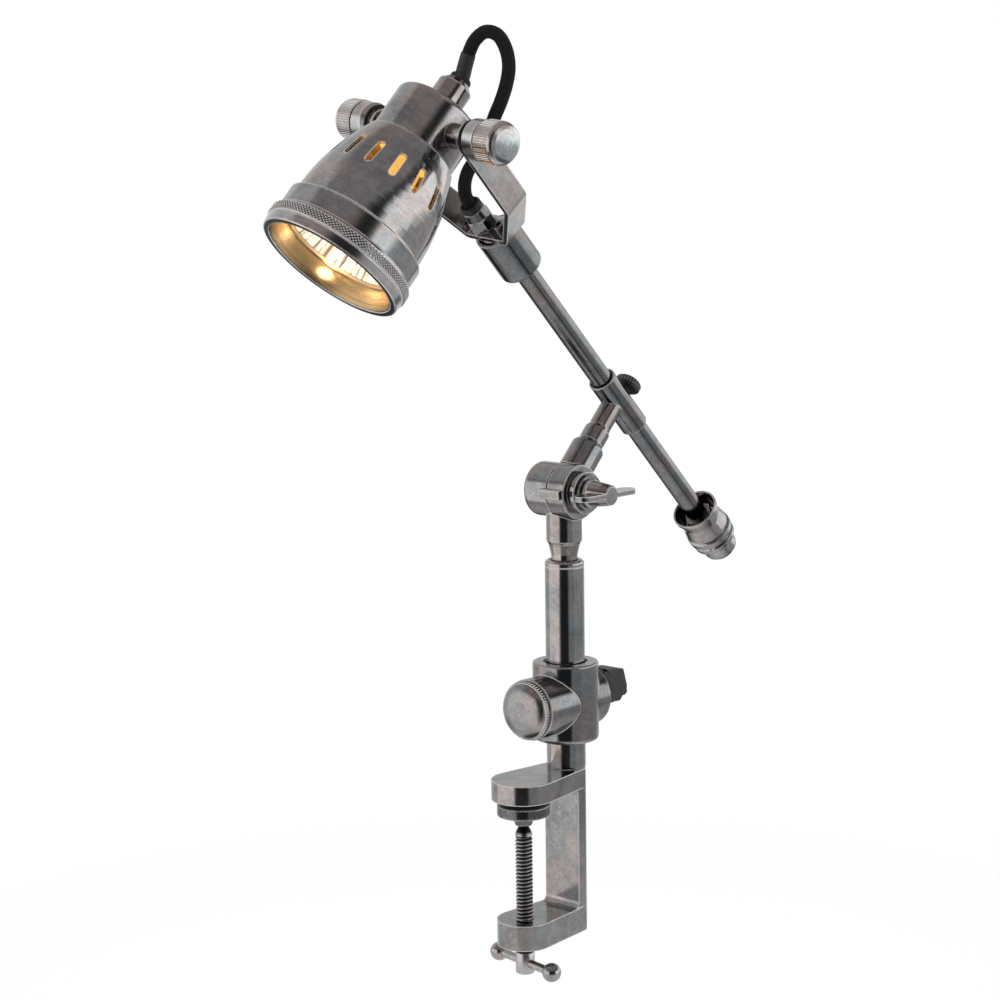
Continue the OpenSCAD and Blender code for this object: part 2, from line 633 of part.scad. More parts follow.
module yoke_screw() color(dark_metal) at_tilt() translate([base_offset, 0, -yoke_depth]) difference() {
    turned([
        [0, -5, 0], [yoke_screw_r, -5, 0.2], [yoke_screw_r, strip_t + seat, 0], [2.8, strip_t + seat, 0],
        [2.8, strip_t + 3, 0.4], [0, strip_t + 3, 0],
    ]);
    translate([0, 0, strip_t + 1.2]) cylinder(d = 2.9, h = 3, $fn = 6);
}
gland_h = 10.5;
grommet_h = 3.6;
module yoke_gland() color(metal) at_tilt() translate([-base_offset, 0, seat - tilt_to_base]) difference() {
    union() {
        rotate([0, 0, 30]) cylinder(d = gland_af / cos(30), h = 6, $fn = 6);
        turned([[0, 5.9, 0], [gland_af / 2, 5.9, 0], [4.9, gland_h, 0.5], [0, gland_h, 0]]);
        rod(3 - seat, -strip_t - 4, 0.1);
    }
    rod(2, -strip_t - 5, gland_h + 1);
    translate([-gland_af / 2, 0, 4.5]) rotate([90, 0, 20]) cylinder(r = 0.8, h = 7);
}
module yoke_grommet() color(black) at_tilt() translate([-base_offset, 0, gland_h + 2 * seat - tilt_to_base])
    turned([
        [flex_d / 2 + seat, 0, 0], [4.8, 0, 1], [4.8, grommet_h - 0.6, 1],
        [flex_d / 2 + seat, grommet_h - 0.6, 0.3],
    ]);

// ---- Flex ----
// Route from the yoke's gland to the head's gland: across the yoke, along the rod, and behind the strip
flex_route = [
    [-5.6, -47.9, 0], [-5.6, -44, 0.2], [-5.4, -40, 1], [-4.2, -35.8, 2.8], [-1.5, -31.5, 5],
    [2.5, -27.7, 6.6], [7.5, -24, 8.6], [12.5, -19.6, 11.6], [17, -14, 15.2], [20, -9, 20], [21.5, -5.5, 26],
    [21, -2.5, 33], [19.4, 1, 39.5], [16.4, 5.5, 44.6], [12, 10, 47.6], [7, 12.4, 46.6], [3.2, 11.4, 42.6],
    [1.2, 8.6, 38], [0.3, 5.4, 33.4], [0, 2.9, 29.6], [0, 2.35, 27.2],
];
function route_way(i) = unit(flex_route[min(i + 1, len(flex_route) - 1)] - flex_route[max(i - 1, 0)]);
// Two axes square to the route at point i
function side_axis(i) = unit(cross(route_way(i), [0.3, 0.2, 1]));
function ring_point(i, a) =
    flex_route[i] + flex_d / 2 * (cos(a) * side_axis(i) + sin(a) * cross(route_way(i), side_axis(i)));
flex_sides = 10;
module flex() color(black) at_tilt() {
    rings = len(flex_route);
    points = [for (i = [0:rings - 1], k = [0:flex_sides - 1])
        let(q = ring_point(i, 360 * k / flex_sides)) [q.x, q.z, q.y]];
    polyhedron(points, concat(
        [[for (k = [flex_sides - 1:-1:0]) k]],
        [for (i = [0:rings - 2], k = [0:flex_sides - 1])
            let(a = i * flex_sides + k, b = i * flex_sides + (k + 1) % flex_sides)
            [a, b, b + flex_sides, a + flex_sides]],
        [[for (k = [0:flex_sides - 1]) (rings - 1) * flex_sides + k]]
    ));
}

// ---- Head ----
pivot_r = 4;
pivot_shank = 3;
socket_r_out = socket_d / 2;
module socket_cup() color(metal) at_head() difference() {
    turned([
        [0, -socket_back, 0], [socket_r_out, -socket_back, 2.5], [socket_r_out, socket_front - seat, 0.3],
        [socket_r_out - socket_wall, socket_front - seat, 0],
        [socket_r_out - socket_wall, socket_wall - socket_back, 1.5], [0, socket_wall - socket_back, 0],
    ]);
    rod(gland_thread_r + seat, -socket_back - 1, 0);
    along_x() rod(pivot_shank + seat, -socket_d, socket_d);
    for (side = [-1, 1]) translate([0, side * holder_screw_y, 0]) rod(holder_screw_r + seat, -socket_back - 1, 0);
}
module tilt_pivots() color(metal) at_tilt() difference() {
    for (side = [0, 1]) mirror([side, 0, 0]) along_x() turned([
        [0, socket_r_out - 4, 0], [pivot_shank, socket_r_out - 4, 0.4], [pivot_shank, socket_r_out - 1, 0],
        [5.3, socket_r_out - 1, 0], [5.3, arm_in - clear, 0.4], [pivot_r, arm_in - clear, 0],
        [pivot_r, knob_end - 8, 0.5], [0, knob_end - 8, 0],
    ]);
    rotate([head_tilt, 0, 0]) difference() {
        rod(socket_r_out + 0.02, -socket_back, socket_front);
        along_x() rod(pivot_shank, -socket_d, socket_d);
    }
}
gland_thread_r = 4;
head_gland_h = 11.9;
head_gland_r = 7.7;
module head_gland() color(metal) at_head() translate([0, 0, -socket_back]) mirror([0, 0, 1]) difference() {
    union() {
        turned([
            [0, seat, 0], [head_gland_r, seat, 0.2], [head_gland_r, head_gland_h, 0.3],
            [4.9, head_gland_h + 3.1, 0.4], [0, head_gland_h + 3.1, 0],
        ]);
        rod(gland_thread_r, -socket_wall - 2, seat + 0.1);
    }
    rod(2, -socket_wall - 3, head_gland_h + 4);
}
module head_grommet() color(black) at_head()
    translate([0, 0, -socket_back - head_gland_h - 3.1 - seat]) mirror([0, 0, 1])
    turned([
        [flex_d / 2 + seat, 0, 0], [4.9, 0, 0.8], [4.7, 2.4, 1], [flex_d / 2 + seat, 2.4, 0.3],
    ]);
// Radius of the bell's outside at z: a parabola from the socket cup out to the bell's foot
bell_top_r = socket_r_out + 0.9;
function bell_r(z) = bell_d / 2 - (bell_d / 2 - bell_top_r) * pow((bell_end - z) / bell_len, 2);
module shade() color(metal) at_head() difference() {
    rotate_extrude() polygon(concat(
        [[lip_r, bell_start], [bell_top_r - 0.6, bell_start]],
        [for (k = [0:10]) let(z = bell_start + 0.5 + (bell_len - 0.5) * k / 10) [bell_r(z), z]],
        [[skirt_d / 2 - 0.4, bell_end + 0.6], [skirt_d / 2, bell_end + 1.2], [skirt_d / 2, skirt_end]],
        [[skirt_d / 2 - shade_wall, skirt_end], [skirt_d / 2 - shade_wall, bell_end + 1.2]],
        [for (k = [10:-1:1]) let(z = bell_start + shade_wall + (bell_len - shade_wall) * k / 10)
            [bell_r(z) - shade_wall, z]],
        [[lip_r, bell_start + shade_wall]]
    ));
    for (k = [0:slot_count - 1]) rotate([0, 0, slot_start + 360 * k / slot_count]) vent_slot();
}
lip_r = 15.5;
slot_z = bell_start + 17;
slot_start = 14;
// A slot with round ends, square to the bell's side
module vent_slot() translate([bell_r(slot_z), 0, slot_z]) rotate([0, slot_lean, 0])
    rotate([0, 90, 0]) linear_extrude(6, center = true) {
        square([slot_len - slot_w, slot_w], center = true);
        for (end = [-1, 1]) translate([end * (slot_len - slot_w) / 2, 0]) circle(r = slot_w / 2, $fn = 24);
    }
slot_lean = atan2(bell_r(slot_z + 1) - bell_r(slot_z - 1), 2);
module bezel_ring() color(metal) at_head() turned([
    [mouth_d / 2, bezel_end, 0.3], [mouth_d / 2, skirt_end + 1, 0], [skirt_d / 2 - shade_wall - 1.4, skirt_end + 1, 0],
    [skirt_d / 2 - shade_wall - 1.4, skirt_end - 5, 0], [skirt_d / 2 - shade_wall - seat, skirt_end - 5, 0],
    [skirt_d / 2 - shade_wall - seat, skirt_end + 0.02, 0], [skirt_d / 2 + 0.2, skirt_end + 0.02, 0],
    [bezel_d / 2, skirt_end + 1.4, 0.2], [bezel_d / 2, skirt_end + 5.6, 0.2], [bezel_d / 2 - 0.7, skirt_end + 5.9, 0],
    [bezel_d / 2 - 0.2, skirt_end + 6.3, 0.3], [bezel_d / 2 - 0.7, bezel_end, 0.6],
]);
glass_z = bezel_end - 13;
cone_back_r = lamp_d / 2 - 1;
module mouth_cone() color(gold) at_head() turned([
    [cone_back_r, glass_z + 0.1, 0], [lamp_d / 2 + 0.6, glass_z + 0.1, 0], [mouth_d / 2 - seat, bezel_end - 3, 0],
    [mouth_d / 2 - seat, bezel_end - 0.6, 0], [mouth_d / 2 - 0.7, bezel_end - 0.4, 0],
    [cone_back_r + 0.2, glass_z + 1.2, 0],
]);
bowl_len = lamp_d / 2;
bowl_back = glass_z - 1.3 - bowl_len;
bowl_neck_r = 8;
// The reflector bowl of the lamp: a parabola from its neck to its rim
function bowl_r(t) = bowl_neck_r + (lamp_d / 2 - 1.2 - bowl_neck_r) * sqrt(t);
module lamp_bowl() color(clear_glass) at_head() rotate_extrude() polygon(concat(
    [for (k = [0:8]) [bowl_r(k / 8), bowl_back + bowl_len * k / 8]],
    [[lamp_d / 2 - 0.4, bowl_back + bowl_len], [lamp_d / 2, bowl_back + bowl_len - 0.4]],
    [[lamp_d / 2, bowl_back + bowl_len - 2]],
    [for (k = [7:-1:0]) [bowl_r(k / 8) + 1.4, bowl_back - 1 + bowl_len * k / 8]],
    [[0, bowl_back - 1], [0, bowl_back + 0.4], [bowl_neck_r - 1, bowl_back + 0.4]]
));
module lamp_glass() color(clear_glass) at_head() rod(lamp_d / 2 - 0.3, glass_z - 1.25, glass_z);
module lamp_capsule() color(clear_glass) at_head() turned([
    [0, bowl_back + 0.45, 0], [3.2, bowl_back + 0.45, 0], [4.4, bowl_back + 4, 1],
    [4.4, bowl_back + capsule_len - 2.5, 2.5], [0, bowl_back + capsule_len, 0],
]);
capsule_len = 15.5;
lamp_base_len = 19;
lamp_base_r = 9.5;
lamp_pin_r = 2.4;
lamp_pin_len = 6;
lamp_pin_x = 5;
module lamp_base() color(ceramic) at_head() {
    turned([
        [0, bowl_back - lamp_base_len, 0], [lamp_base_r - 1, bowl_back - lamp_base_len, 1],
        [lamp_base_r, bowl_back - lamp_base_len + 7, 0], [lamp_base_r, bowl_back - 1.05, 0],
        [0, bowl_back - 1.05, 0],
    ]);
    for (side = [-1, 1]) translate([side * lamp_pin_x, 0, 0])
        rod(lamp_pin_r, bowl_back - lamp_base_len - lamp_pin_len, bowl_back - lamp_base_len + 0.1);
}
holder_top = bowl_back - lamp_base_len - 0.1;
holder_r = 13.5;
holder_screw_r = 1.5;
holder_screw_head_r = 2.7;
spacer_r = 2.6;
spacer_len = 3.4;
holder_screw_y = head_gland_r + holder_screw_head_r + clear;
module lamp_holder() color(ceramic) at_head() difference() {
    rod(holder_r, socket_wall - socket_back + 0.2 + spacer_len, holder_top);
    for (side = [-1, 1]) translate([side * lamp_pin_x, 0, 0])
        rod(lamp_pin_r + seat, holder_top - lamp_pin_len - 0.3, holder_top + 1);
    for (side = [-1, 1]) translate([0, side * holder_screw_y, 0])
        rod(holder_screw_r + seat, -socket_back, holder_top - 2);
}
module holder_screws() color(dark_metal) at_head()
    for (side = [-1, 1]) translate([0, side * holder_screw_y, 0]) {
        rod(holder_screw_r, -socket_back - 0.1, holder_top - 2.2);
        rod(spacer_r, socket_wall - socket_back + 0.1, socket_wall - socket_back + 0.1 + spacer_len);
        turned([
            [0, -socket_back - 1.6, 0], [1.6, -socket_back - 1.6, 0.4],
            [holder_screw_head_r, -socket_back - seat, 0], [0, -socket_back - seat, 0],
        ]);
    }

// ---- Tilt knobs ----
module tilt_knob() color(metal) along_x() turned([
    [pivot_r + run, knob_start, 0], [tilt_knob_d / 2 - 1.6, knob_start, 0.3],
    [tilt_knob_d / 2 - 0.2, knob_start + 2, 0.6], [tilt_knob_d / 2 - 0.2, knob_start + 8.4, 0.3],
    [tilt_knob_d / 2 - 0.8, knob_start + 8.5, 0], [tilt_knob_d / 2 - 0.8, knob_start + 9, 0],
    [tilt_knob_d / 2, knob_start + 9.1, 0.2], [tilt_knob_d / 2, knob_end - 3, 0.4],
    each [for (a = [75:-15:0]) [(tilt_knob_d / 2 - 0.2) * sin(a), knob_end - 2.9 + 2.9 * cos(a), 0]],
    [0, knob_end - 7.5, 0], [pivot_r + run, knob_end - 7.5, 0],
]);
module tilt_washer() color(black) along_x() ring(tilt_knob_d / 2 - 0.9, pivot_r + run, yoke_span / 2 + clear, knob_start - seat);
module tilt_knob_right() at_tilt() tilt_knob();
module tilt_knob_left() at_tilt() mirror([1, 0, 0]) tilt_knob();
module washer_right() at_tilt() tilt_washer();
module washer_left() at_tilt() mirror([1, 0, 0]) tilt_washer();

clamp_frame();
post_stud();
post_tube();
post_cap();
switch_housing();
switch_body();
cord_grip();
cord_grip_cap();
switch_knob();
clamp_pad();
pad_rubber();
clamp_screw();
tommy_bar();
tommy_balls();
lower_knuckle();
swivel_clip();
friction_disc();
upper_knuckle();
stop_lug();
stem();
arm_sleeve();
cone_washer();
spring_washer();
wing_screw();
sleeve_screw();
sleeve_liner();
arm_rod();
counterweight();
weight_nut();
head_adapter();
adapter_grub();
yoke();
yoke_screw();
yoke_gland();
yoke_grommet();
flex();
socket_cup();
tilt_pivots();
head_gland();
head_grommet();
shade();
bezel_ring();
mouth_cone();
lamp_bowl();
lamp_glass();
lamp_capsule();
lamp_base();
lamp_holder();
holder_screws();
tilt_knob_right();
tilt_knob_left();
washer_right();
washer_left();
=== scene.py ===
"""Looks of a clamp-on swing arm desk lamp: aged nickel, a braided flex and a lit reflector lamp.

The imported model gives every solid. This script finishes each surface, adds the knurls and the thread,
makes the lamp's facets and the flex, and sets the light and the camera. Lengths of pieces are
millimetres, in the axes of the piece's own spot; the floor and Blender's objects are in metres.
"""
import json
import math

import bpy
import numpy as np
from mathutils import Matrix, Vector


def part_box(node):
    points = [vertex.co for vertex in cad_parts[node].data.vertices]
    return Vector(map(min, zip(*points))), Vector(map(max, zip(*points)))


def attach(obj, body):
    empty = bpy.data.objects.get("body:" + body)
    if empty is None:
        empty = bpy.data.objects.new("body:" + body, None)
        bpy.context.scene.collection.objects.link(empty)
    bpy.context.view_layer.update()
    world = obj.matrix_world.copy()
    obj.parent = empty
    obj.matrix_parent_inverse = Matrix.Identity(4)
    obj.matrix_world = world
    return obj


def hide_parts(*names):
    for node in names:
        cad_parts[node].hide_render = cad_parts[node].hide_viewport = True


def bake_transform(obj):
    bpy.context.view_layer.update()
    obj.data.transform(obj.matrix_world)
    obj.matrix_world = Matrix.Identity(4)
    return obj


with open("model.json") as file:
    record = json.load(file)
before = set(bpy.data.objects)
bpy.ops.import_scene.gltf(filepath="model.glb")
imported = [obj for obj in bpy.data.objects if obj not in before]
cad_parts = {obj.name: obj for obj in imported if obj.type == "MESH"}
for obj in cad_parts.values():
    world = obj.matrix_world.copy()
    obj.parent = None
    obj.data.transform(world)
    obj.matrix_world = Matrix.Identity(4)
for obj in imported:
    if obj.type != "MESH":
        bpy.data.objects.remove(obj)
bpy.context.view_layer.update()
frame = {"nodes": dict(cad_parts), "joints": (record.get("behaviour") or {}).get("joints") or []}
MM = 0.001
TURN = 2 * math.pi

# ---- Spots: where each group of turned pieces has its axis, taken from the joints ----
JOINTS = {joint["name"]: joint for joint in frame["joints"]}
# A way that lies along none of the joints' axes
ODD_WAY = (0.9, 0.1, -0.12)


def spot(origin, axis, across=(1, 0, 0)):
    """Axes with Z along axis and X near across, at origin in metres."""
    z = Vector(axis).normalized()
    x = (Vector(across) - z * z.dot(Vector(across))).normalized()
    y = z.cross(x)
    matrix = Matrix((x, y, z)).transposed().to_4x4()
    matrix.translation = Vector(origin)
    return matrix


def hub(joint):
    """The spot of a joint's axis."""
    return spot(JOINTS[joint]["pos_m"], JOINTS[joint]["axis"], ODD_WAY)


# From the arm's way to the lamp's way at rest
HEAD_TILT = math.radians(94.9)
KNUCKLE = JOINTS["knuckle"]["pos_m"]
ROD_WAY = Vector(JOINTS["arm_slide"]["axis"])
TILT_WAY = Vector(JOINTS["head_tilt"]["axis"])
LAMP_WAY = Matrix.Rotation(HEAD_TILT, 3, TILT_WAY) @ ROD_WAY
PIVOT = Vector(JOINTS["head_tilt"]["pos_m"])

SPOTS = {
    "screw": spot((0, 0, 0), (0, 0, 1)),
    "post": spot(JOINTS["post_swivel"]["pos_m"], (0, 0, 1)),
    "barrel": hub("switch_turn"),
    "bar": spot((0, 0, 0), JOINTS["tommy_bar_slide"]["axis"], (0, 0, 1)),
    "bolt": spot(KNUCKLE, (1, 0, 0), (0, 1, 0)),
    "stem": spot(KNUCKLE, JOINTS["sleeve_screw_turn"]["axis"]),
    "thumbscrew": hub("sleeve_screw_turn"),
    "arm": hub("arm_roll"),
    "yoke": spot(PIVOT, ROD_WAY, TILT_WAY),
    "tilt": spot(PIVOT, TILT_WAY, (0, 0, 1)),
    "head": spot(PIVOT, LAMP_WAY, TILT_WAY),
}


# ---- Node trees as Python expressions ----
class Field:
    """A value in a node tree. Expressions on it add Math nodes."""

    def __init__(self, graph, socket):
        self.graph = graph
        self.socket = socket

    def math(self, operation, *values, clamp=False):
        sockets = dict(enumerate(values))
        return self.graph.node("ShaderNodeMath", {"operation": operation, "use_clamp": clamp}, sockets)

    def __add__(self, other):
        return self.math("ADD", self, other)

    __radd__ = __add__

    def __sub__(self, other):
        return self.math("SUBTRACT", self, other)

    def __rsub__(self, other):
        return self.math("SUBTRACT", other, self)

    def __mul__(self, other):
        return self.math("MULTIPLY", self, other)

    __rmul__ = __mul__

    def __truediv__(self, other):
        return self.math("DIVIDE", self, other)

    def __pow__(self, other):
        return self.math("POWER", self, other)

    def apply(self, operation):
        """A Math operation that takes this value alone."""
        return self.math(operation, self)

    def clamp(self):
        return self.math("ADD", self, 0.0, clamp=True)

    def spread(self, low, high):
        """0 below low, 1 above high."""
        return ((self - low) / (high - low)).clamp()


def off_axis(x, y):
    """The distance of a point from the Z axis."""
    return (x * x + y * y) ** 0.5


class Graph:
    """A node tree under construction."""

    def __init__(self, tree):
        self.tree = tree

    def node(self, kind, settings=None, sockets=None, out=0):
        node = self.tree.nodes.new(kind)
        for name, value in (settings or {}).items():
            setattr(node, name, value)
        for key, value in (sockets or {}).items():
            if isinstance(value, Field):
                self.tree.links.new(value.socket, node.inputs[key])
            else:
                node.inputs[key].default_value = value
        return Field(self, node.outputs[out])

    def vector(self, x, y, z):
        return self.node("ShaderNodeCombineXYZ", sockets={0: x, 1: y, 2: z})

    def split(self, vector):
        parts = self.node("ShaderNodeSeparateXYZ", sockets={0: vector})
        return [Field(self, output) for output in parts.socket.node.outputs]

    def mix(self, factor, first, second):
        """A colour between two others."""
        sockets = {0: factor, 6: first, 7: second}
        return self.node("ShaderNodeMix", {"data_type": "RGBA"}, sockets, out=2)

    def rays(self, *kinds):
        """For each kind of ray, 1 where the point is seen by one."""
        path = self.node("ShaderNodeLightPath")
        return [Field(self, path.socket.node.outputs[kind]) for kind in kinds]


class Look(Graph):
    """A material. Its surface is one Principled shader."""

    def __init__(self, name):
        self.material = bpy.data.materials.new(name)
        self.material.use_nodes = True
        super().__init__(self.material.node_tree)
        self.shader = self.tree.nodes["Principled BSDF"]

    def at(self, place):
        """The point's place in millimetres, in the axes of a spot."""
        coordinates = self.node("ShaderNodeTexCoord", out="Object")
        origin, turn, _ = SPOTS[place].decompose()
        sockets = {0: coordinates, 1: origin, 2: turn.to_euler(), 3: (MM, MM, MM)}
        return self.node("ShaderNodeMapping", {"vector_type": "TEXTURE"}, sockets)

    def noise(self, vector, scale, detail=4.0, rough=0.55, distortion=0.0):
        sockets = {"Vector": vector, "Scale": scale, "Detail": detail, "Roughness": rough,
                   "Distortion": distortion}
        return self.node("ShaderNodeTexNoise", sockets=sockets)

    def rounded(self, radius):
        """Normals with sharp edges rounded to a radius in millimetres."""
        return self.node("ShaderNodeBevel", {"samples": 6}, {"Radius": radius * MM})

    def sharp_edge_mask(self, radius):
        """Near 1 on sharp outer and inner edges."""
        plain = self.node("ShaderNodeNewGeometry", out="Normal")
        sockets = {0: self.rounded(radius), 1: plain}
        same = self.node("ShaderNodeVectorMath", {"operation": "DOT_PRODUCT"}, sockets, out="Value")
        return (1.0 - same).spread(0.004, 0.05)

    def hollows(self, reach):
        """Near 1 in narrow hollows."""
        settings = {"samples": 4, "only_local": False}
        open_part = self.node("ShaderNodeAmbientOcclusion", settings, {"Distance": reach * MM}, out="AO")
        return (1.0 - open_part).spread(0.3, 0.9)

    def bump(self, height, depth, normal=None):
        """Normals of a height in millimetres times depth, over other normals."""
        sockets = {"Height": height, "Distance": depth * MM, "Strength": 1.0}
        if normal:
            sockets["Normal"] = normal
        return self.node("ShaderNodeBump", sockets=sockets)

    def finish(self, **sockets):
        """Links fields to the shader, and sets plain values on it."""
        for name, value in sockets.items():
            socket = self.shader.inputs[name.replace("_", " ")]
            if isinstance(value, Field):
                self.tree.links.new(value.socket, socket)
            else:
                socket.default_value = value
        return self.material


def grey(value, warm=0.0):
    """A grey, a little redder when warm is above 0 and bluer below it."""
    return (value * (1 + warm), value * (1 - 0.3 * abs(warm)), value * (1 - 0.6 * warm), 1.0)


# ---- Materials ----
def aged_nickel(name, place, brush="round", tone=1.0, seed=0.0, edge=0.8, teeth=None, soot=0.85,
                satin=0.0):
    """Nickel darkened by an antique wash, under a thin lacquer, its edges brightened by rubbed-back wear and
    a painted highlight.

    brush is the way of its fine marks: round the spot's axis, along it, or plain for a cast piece. tone
    scales the metal's colour, and edge is the radius of its bright edges in millimetres. teeth are the
    radii of a knurl's grooves and points: the grooves are painted dark, partly the wash that stays there and
    partly painted shade, and the points painted bright, partly rubbed wear and partly a painted highlight.
    soot is how dark the wash is in hollows, and satin is added to the roughness."""
    look = Look(name)
    x, y, z = look.split(look.at(place))
    radius = off_axis(x, y)
    if brush == "round":
        marks_at = look.vector(radius * 2.2 + x * 0.05, z * 2.2 + y * 0.05, seed)
    elif brush == "along":
        marks_at = look.vector(x * 2.0, y * 2.0, z * 0.07 + seed)
    else:
        marks_at = look.vector(x * 0.7 + z * 0.4, y * 1.1, z * 0.8 + seed)
    marks = look.noise(marks_at, 1.0, detail=4.0, rough=0.7)
    moved = look.vector(x + seed * 31.0, y - seed * 17.0, z + seed * 9.0)
    cloud = look.noise(moved, 0.05, detail=3.0)
    stain = look.noise(moved, 0.22, detail=7.0, rough=0.62, distortion=0.6)
    speck = look.noise(moved, 2.2, detail=5.0, rough=0.7)
    hue = look.noise(moved, 0.06, detail=2.0)
    scratches = []
    for way in (1.0, -1.0):
        scratched_at = look.vector((x + z * way) * 2.6, (x - z * way) * 0.11, y * 2.6 + seed)
        scratches.append(look.noise(scratched_at, 1.0, detail=2.0))

    wash = cloud.spread(0.34, 0.62) * 0.3 + stain.spread(0.36, 0.62) * 0.36 + marks.spread(0.34, 0.66) * 0.34
    warm = hue.spread(0.42, 0.58)
    clean = look.mix(warm, grey(0.47 * tone, -0.045), grey(0.5 * tone, 0.08))
    dark = look.mix(warm, grey(0.235 * tone, -0.06), grey(0.26 * tone, 0.12))
    colour = look.mix(wash.spread(0.05, 0.85), dark, clean)
    colour = look.mix(speck.spread(0.55, 0.7) * 0.45, colour, grey(0.08, 0.1))
    for scratch in scratches:
        colour = look.mix(scratch.spread(0.64, 0.72) * 0.45, colour, grey(0.75))
    colour = look.mix(look.hollows(5.0) * soot, colour, grey(0.03, 0.05))
    # Bright edges, partly rubbed-back wear and partly a painted highlight of light caught on rounded edges
    wear_and_edge_highlight = look.sharp_edge_mask(edge) * speck.spread(0.15, 0.45)
    # Knurls: painted shade in the grooves, partly the wash held there, and a painted highlight on the points,
    # partly rubbed wear
    if teeth:
        tips = radius.spread(*teeth)
        colour = look.mix(tips, grey(0.045, 0.03), grey(0.85, 0.01))
        wear_and_edge_highlight = wear_and_edge_highlight * tips
    # Paint the edges bright and less metallic: wear and a painted highlight
    colour = look.mix(wear_and_edge_highlight, colour, grey(0.8, 0.03))
    rough = 0.09 + satin + (1.0 - wash.clamp()) * 0.08 + marks.spread(0.3, 0.7) * 0.05 + wear_and_edge_highlight * 0.3
    height = marks * 0.5 + speck * 0.2 + stain
    return look.finish(
        Base_Color=colour, Metallic=1.0 - wear_and_edge_highlight * 0.75, Roughness=rough.clamp(),
        Normal=look.bump(height, 0.006, look.rounded(edge)),
        Coat_Weight=0.25, Coat_Roughness=0.06, Coat_IOR=1.5,
    )


def dark_steel(name, place, tone=1.0, seed=0.0, teeth=None):
    """Oiled steel, brighter where it rubs. teeth are the radii of a thread's root and crest; the roots are
    painted dark as shade and the crests painted bright as a highlight.
    """
    look = Look(name)
    at = look.at(place)
    stain = look.noise(at, 0.5 + seed, detail=6.0)
    speck = look.noise(at, 3.0, detail=4.0)
    colour = look.mix(stain.spread(0.35, 0.65), grey(0.1 * tone), grey(0.3 * tone, 0.03))
    colour = look.mix(look.hollows(1.2) * 0.7, colour, grey(0.03))
    colour = look.mix(look.sharp_edge_mask(0.25) * 0.8, colour, grey(0.62 * tone, 0.03))
    # Painted shade in the thread's roots and a painted highlight on its crests
    if teeth:
        x, y, _ = look.split(at)
        colour = look.mix(off_axis(x, y).spread(*teeth), grey(0.015), grey(0.95 * tone, 0.03))
    return look.finish(
        Base_Color=colour, Metallic=1.0, Roughness=0.24 + speck * 0.15,
        Normal=look.bump(speck + stain, 0.01),
    )


def black_plastic(name, place, shine=0.42, teeth=None):
    """Moulded black plastic with a fine grain. teeth are the radii of a knurl's grooves and points; the
    grooves are painted dark as shade and the points painted grey as a highlight.
    """
    look = Look(name)
    at = look.at(place)
    grain = look.noise(at, 2.2, detail=3.0)
    cloud = look.noise(at, 0.15, detail=3.0)
    colour = look.mix(cloud.spread(0.35, 0.65), grey(0.012), grey(0.03))
    colour = look.mix(look.sharp_edge_mask(0.4) * 0.5, colour, grey(0.09))
    # Painted shade in the knurl's grooves and a painted highlight on its points
    if teeth:
        x, y, _ = look.split(at)
        colour = look.mix(off_axis(x, y).spread(*teeth), grey(0.006), grey(0.22, 0.03))
    rough = shine + grain * 0.12
    return look.finish(Base_Color=colour, Roughness=rough, Normal=look.bump(grain, 0.05))


def rubber(name, place):
    """Black rubber, dusty in places."""
    look = Look(name)
    at = look.at(place)
    grain = look.noise(at, 1.6, detail=5.0)
    dust = look.noise(at, 0.3, detail=4.0)
    colour = look.mix(dust.spread(0.45, 0.8), grey(0.012), grey(0.05, 0.02))
    return look.finish(Base_Color=colour, Roughness=0.55 + grain * 0.2, Normal=look.bump(grain, 0.06))


def braid(name, strands=12, lay=1.15):
    """Black braided cotton. It reads the flex's own UV map: round it, and along it in diameters."""
    look = Look(name)
    around, along, _ = look.split(look.node("ShaderNodeTexCoord", out="UV"))
    slope = lay * strands / 2
    first = ((around * strands + along * slope) * math.pi).apply("SINE")
    second = ((around * strands - along * slope) * math.pi).apply("SINE")
    weave = first * first * 0.5 + second * second * 0.5
    over = (first * second).spread(-0.6, 0.6)
    fuzz = look.noise(look.vector(around * 60.0, along * 20.0, 0.0), 1.0, detail=4.0)
    colour = look.mix((weave * 0.6 + fuzz * 0.5).clamp(), grey(0.003), grey(0.014))
    colour = look.mix(over * 0.25, colour, grey(0.022, 0.02))
    return look.finish(
        Base_Color=colour, Roughness=0.85, Specular_IOR_Level=0.2, Sheen_Weight=0.03, Sheen_Roughness=0.5,
        Normal=look.bump(weave + over * 0.5 + fuzz * 0.3, 0.25),
    )


def heat_shrink(name):
    """Dull black shrink sleeve."""
    look = Look(name)
    grain = look.noise(look.at("head"), 1.2, detail=5.0)
    colour = look.mix(grain.spread(0.35, 0.65), grey(0.016), grey(0.034))
    return look.finish(Base_Color=colour, Roughness=0.5 + grain * 0.15, Normal=look.bump(grain, 0.12))


def gold_cone(name):
    """Gold anodised aluminium with turning marks."""
    look = Look(name)
    x, y, z = look.split(look.at("head"))
    radius = off_axis(x, y)
    rings = look.noise(look.vector(radius * 1.8, z * 1.8, 0.0), 1.0, detail=4.0, rough=0.7)
    cloud = look.noise(look.vector(x, y, z), 0.1, detail=3.0)
    colour = look.mix(rings.spread(0.3, 0.7), (0.26, 0.17, 0.08, 1), (0.62, 0.46, 0.26, 1))
    colour = look.mix(cloud.spread(0.4, 0.7) * 0.4, colour, (0.5, 0.27, 0.1, 1))
    return look.finish(
        Base_Color=colour, Metallic=1.0, Roughness=0.24 + rings * 0.1, Normal=look.bump(rings, 0.16),
    )


